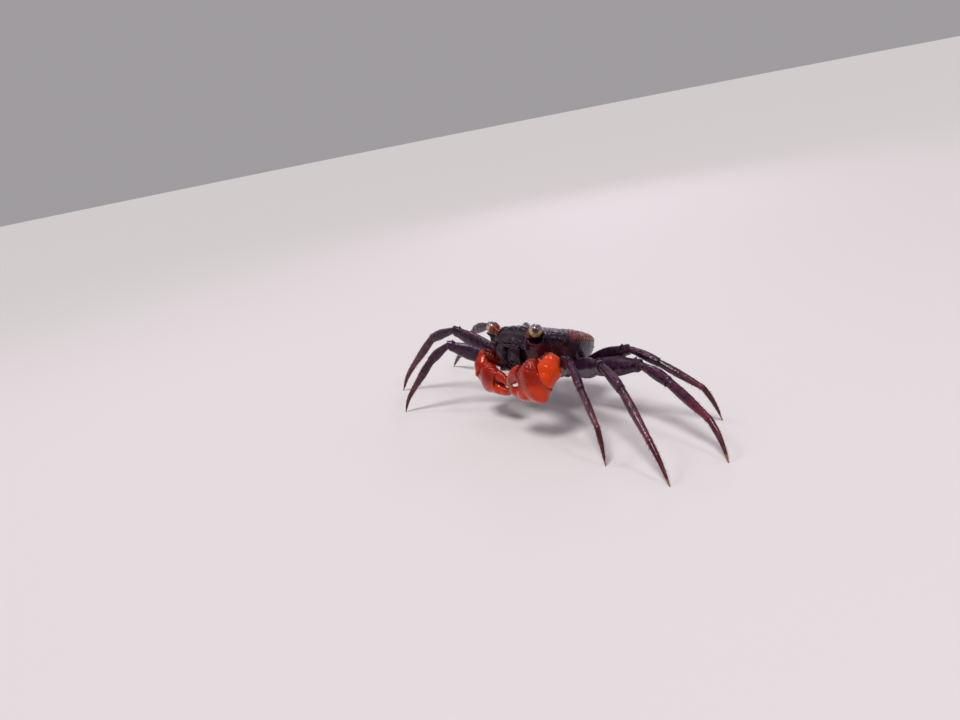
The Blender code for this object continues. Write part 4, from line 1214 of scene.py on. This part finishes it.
def bristle_tree():
    """Grows curved hairs where the skin's bristle value says, leaning along its lean direction."""
    tree = bpy.data.node_groups.new("bristles", "GeometryNodeTree")
    put, times = partial(add, tree), partial(maths, tree, "MULTIPLY")
    vectors = partial(put, "ShaderNodeVectorMath")
    aligned = partial(put, "FunctionNodeAlignRotationToVector")
    stored = partial(put, "GeometryNodeInputNamedAttribute")
    tree.interface.new_socket("Geometry", in_out="OUTPUT", socket_type="NodeSocketGeometry")
    for name, kind in (("Geometry", "Geometry"), ("Per square mm", "Float"), ("Length", "Float"),
                       ("Radius", "Float"), ("Lean", "Float"), ("Seed", "Int"), ("Material", "Material")):
        tree.interface.new_socket(name, in_out="INPUT", socket_type=f"NodeSocket{kind}")
    given = put("NodeGroupInput").node.outputs
    seed, size = {"Seed": given["Seed"]}, given["Length"]
    density = times(stored({"Name": "bristle"}, data_type="FLOAT"), given["Per square mm"])
    spread = put("GeometryNodeDistributePointsOnFaces",
                 {"Mesh": given["Geometry"], "Density": density, **seed}).node.outputs
    way = stored({"Name": "lean"}, data_type="FLOAT_VECTOR")
    leaning = vectors({0: way, "Scale": given["Lean"]}, operation="SCALE")
    chance = put("FunctionNodeRandomValue", {0: (-0.3,) * 3, 1: (0.3,) * 3, **seed}, data_type="FLOAT_VECTOR")
    lifted = vectors({0: spread["Normal"], 1: leaning}, operation="ADD")
    turned = aligned({"Vector": vectors({0: lifted, 1: chance}, operation="ADD")}, axis="Z")
    turned = aligned({"Rotation": turned, "Vector": way}, axis="X", pivot_axis="Z")
    cone = put("GeometryNodeMeshCone", {"Vertices": 4, "Side Segments": 4, "Radius Top": 0.0,
                                        "Radius Bottom": given["Radius"], "Depth": size}, "Mesh")
    height = put("ShaderNodeSeparateXYZ", {0: put("GeometryNodeInputPosition")}, "Z")
    share = maths(tree, "DIVIDE", height, size)
    bent = put("ShaderNodeCombineXYZ", {"X": times(times(times(share, share), size), 0.3)})
    marked = put("GeometryNodeStoreNamedAttribute", {"Geometry": cone, "Name": "leaf", "Value": share},
                 data_type="FLOAT", domain="POINT")
    hair = put("GeometryNodeSetPosition", {"Geometry": marked, "Offset": bent})
    length = put("FunctionNodeRandomValue", {2: 0.55, 3: 1.15, **seed}, 1)
    planted = put("GeometryNodeInstanceOnPoints", {"Points": spread["Points"], "Instance": hair,
                                                   "Rotation": turned, "Scale": length})
    real = put("GeometryNodeRealizeInstances", {"Geometry": planted})
    painted = put("GeometryNodeSetMaterial", {"Geometry": real, "Material": given["Material"]})
    tree.links.new(painted, tree.nodes.new("NodeGroupOutput").inputs[0])
    return tree


def grow_bristles(skins, tree, material, look):
    """The hairs of some skins as one plain mesh, with the unwrap of their roots as its OFBake map."""
    seed, *sizes = look
    sockets = {socket.name: socket.identifier for socket in tree.interface.items_tree}
    hairs = []
    for number, skin in enumerate(skins):
        values = dict(zip(("Per square mm", "Length", "Radius", "Lean"), sizes), Seed=seed + number,
                      Material=material)
        inputs = {sockets[name]: value for name, value in values.items()}
        hairs.append(modified(skin.copy(), "NODES", inputs, node_group=tree))
    made = joined(hairs)
    add_root_map(made)
    return made


def add_root_map(mesh, patch=0.003):
    """Gives each hair a small patch at its root's place on the skin's unwrap."""
    count = len(mesh.vertices)
    if not count:
        return
    leaf = np.empty(count, np.float32)
    mesh.attributes["leaf"].data.foreach_get("value", leaf)
    corner = np.empty(len(mesh.loops), np.int32)
    mesh.loops.foreach_get("vertex_index", corner)
    flat = rows_of(mesh.attributes["unwrap"].data, "vector")[:, :2].astype(np.float32)
    flat[:, 0] += patch * ((np.arange(count) % 4) / 4 - 0.5)
    flat[:, 1] += patch * (leaf - 0.5)
    mesh.uv_layers.new(name="OFBake").data.foreach_set("uv", flat[corner].ravel())


# Putting the crab together

def show(name, mesh, material, slot, *nodes):
    """A finished piece: in the row frame, shaded smooth, riding on the crab's one body."""
    mesh.transform(ROW_FRAME)
    mesh.name = name
    mesh.materials.clear()
    mesh.materials.append(material)
    mesh.shade_smooth()
    obj = placed(name, mesh)
    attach(obj, "root")
    if nodes:
        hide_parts(*nodes)


def build_crab():
    """Every piece of the crab."""
    # The fourth colour of each shell, its crest, is a painted highlight on raised grains and ridges, and the
    # colour of its flecks.
    back = cuticle("carapace, wet dark shell", "#0b060c", "#26121f", "#7c2f0e", "#40203a", tint="#4a0d12",
                   coat=0.42)
    under = cuticle("under body, wet dark shell", "#0b050a", "#22101b", "#5e3a34", "#382032", coat=0.35)
    leg = cuticle("walking legs, purple-brown shell", "#140813", "#3c1a36", "#66222a", "#744868", coat=0.6,
                  mottle_mm=1.0)
    toe = cuticle("toes, red-brown shell with horn tips", "#381016", "#602026", "#8e5a2c", "#7a4040",
                  coat=0.4, mottle_mm=0.6)
    claw = cuticle("claws, orange-red shell", "#780a03", "#b41e04", "#520706", "#cf2c0a", tint="#de4203",
                   horn="#96623c", gleam="#ff8a5c", roughness=(0.2, 0.36), coat=0.55, mottle_mm=1.8, bump=0.2)
    stalk = cuticle("eyestalks, red-brown shell", "#40100c", "#6a1e10", "#7c3a1c", "#8c3c26", gleam="#e09a80",
                    coat=0.6, mottle_mm=0.5)
    cornea, membrane, hair = cornea_material(), membrane_material(), bristle_material()
    tree = bristle_tree()

    def show_bristles(name, skins, look, slot):
        show(f"{name}_bristles", grow_bristles(skins, tree, hair, look), hair, slot)
    membranes = []
    shell = carapace_skin()
    bristles = grow_bristles([shell], tree, hair, WALL_BRISTLES)
    show("carapace_shell", shell, back, "dark_shell", "carapace")
    show("side_wall_bristles", bristles, hair, "dark_shell")
    show("under_body", thorax_skin(), under, "dark_shell", "thorax")
    show("tail_plates", pleon_skin(), under, "dark_shell", "pleon")
    show("mouth_field", mouth_field(), under, "dark_shell")
    for side in SIDES:
        jaw = maxilliped_skin(side)
        bristles = grow_bristles([jaw], tree, hair, JAW_BRISTLES)
        show(f"maxilliped_{side}_plates", jaw, under, "dark_shell", f"maxilliped_{side}")
        show(f"maxilliped_{side}_bristles", bristles, hair, "dark_shell")
        stalk_skin, cornea_skin = eye_skins(side)
        show(f"eyestalk_{side}_skin", stalk_skin, stalk, "eyestalk_shell", f"eyestalk_{side}")
        show(f"eye_{side}_cornea", cornea_skin, cornea, "cornea", f"eye_{side}")
        show(f"antenna_{side}_whip", antenna_skin(side), leg, "dark_shell", f"antenna_{side}")
        skins, soft = claw_skins(side)
        membranes += soft
        show_bristles(f"claw_{side}", [skins["merus"], skins["carpus"]], CLAW_BRISTLES, "claw_shell")
        for part, mesh in skins.items():
            slot = "finger_shell" if part == "finger" else "claw_shell"
            show(f"claw_{side}_{part}_shell", mesh, claw, slot, f"claw_{side}_{part}")
        for number in range(4):
            name = f"leg_{side}_{number + 1}"
            skins, soft = leg_skins(side, number)
            membranes += soft
            seed, *sizes = LEG_BRISTLES
            show_bristles(name, skins.values(), (seed + number, *sizes), "leg_shell")
            for part, mesh in skins.items():
                finish, slot = (toe, "toe_shell") if part == "dactylus" else (leg, "leg_shell")
                show(f"{name}_{part}_shell", mesh, finish, slot, f"{name}_{part}")
    show("joint_skins", joined(as_mesh(bm) for bm in membranes), membrane, "leg_shell")


# The scene around it

CAMERA_AZIMUTH = 51.5
CAMERA_ELEVATION = 20.8
CAMERA_ROLL = 9.6
CAMERA_DISTANCE = 0.1446
CAMERA_LENS = 30
SENSOR_WIDTH = 36
FRAME_SIZE = (960, 720)
# Where the floor under the body's middle lies in the photograph.
BODY_PIXEL = (553.1, 404.3)
# Soft boxes: place and size in metres, watts and colour. Where they look is a little over the floor.
SOFT_BOXES = {
    "key": ((-0.14, -0.08, 0.24), 0.05, 0.09, "#f4ecff"),
    "side": ((0.24, 0.0, 0.19), 0.04, 0.1, "#f2e6ff"),
    "rim": ((-0.2, 0.22, 0.14), 0.06, 0.07, "#f2e6ff"),
}
SOFT_BOX_TARGET = Vector((0, 0, 0.01))
# The overhead light: strength, how wide it looks and how it is turned, in degrees.
SUN_STRENGTH = 2.05
SUN_ANGLE = 18
SUN_TURN = (20, 10, 0)


def photo_camera():
    """The photograph's camera."""
    a, e, r = (radians(v) for v in (CAMERA_AZIMUTH, CAMERA_ELEVATION, CAMERA_ROLL))
    back = Vector((sin(a) * cos(e), -cos(a) * cos(e), sin(e)))
    level = Vector((cos(a), sin(a), 0))
    rise = back.cross(level)
    right = level * cos(r) - rise * sin(r)
    up = level * sin(r) + rise * cos(r)
    focal = CAMERA_LENS / SENSOR_WIDTH * FRAME_SIZE[0]
    yaw = atan((BODY_PIXEL[0] - FRAME_SIZE[0] / 2) / focal)
    pitch = atan((BODY_PIXEL[1] - FRAME_SIZE[1] / 2) / focal * cos(yaw))
    camera = placed("camera", settled(bpy.data.cameras.new("camera"), lens=CAMERA_LENS,
                                      sensor_width=SENSOR_WIDTH, clip_start=0.001))
    turned = Matrix((right, up, back)).transposed().to_4x4()
    place = Matrix.Translation(ROW_FRAME.to_translation() + back * CAMERA_DISTANCE)
    camera.matrix_world = place @ turned @ Matrix.Rotation(yaw, 4, "Y") @ Matrix.Rotation(pitch, 4, "X")
    bpy.context.scene.camera = camera


def studio():
    """A plain pale floor, a pale room, an overhead light and three soft boxes that face the crab."""
    bm = bmesh.new()
    bmesh.ops.create_circle(bm, cap_ends=True, segments=64, radius=3.0)
    floor = placed("floor", as_mesh(bm))
    material, tree, shader = new_material("floor, matt pale paint")
    feed(tree, shader, {"Base Color": "#dad5d3", "Roughness": 0.7})
    floor.data.materials.append(material)
    world = bpy.data.worlds.new("room")
    bpy.context.scene.world = world
    world.use_nodes = True
    feed(world.node_tree, world.node_tree.nodes["Background"], {"Color": "#e2dde2", "Strength": 0.46})
    sun = settled(bpy.data.lights.new("overhead", "SUN"), energy=SUN_STRENGTH, angle=radians(SUN_ANGLE))
    placed("overhead", sun).rotation_euler = [radians(turn) for turn in SUN_TURN]
    for name, (place, size, watts, colour) in SOFT_BOXES.items():
        box = settled(bpy.data.lights.new(name, "AREA"), size=size, energy=watts, color=linear(colour)[:3])
        turn = (Vector(place) - SOFT_BOX_TARGET).to_track_quat("Z", "Y")
        settled(placed(name, box), location=place, rotation_mode="QUATERNION", rotation_quaternion=turn)
    bpy.context.scene.view_settings.view_transform = "Standard"


build_crab()
photo_camera()
studio()
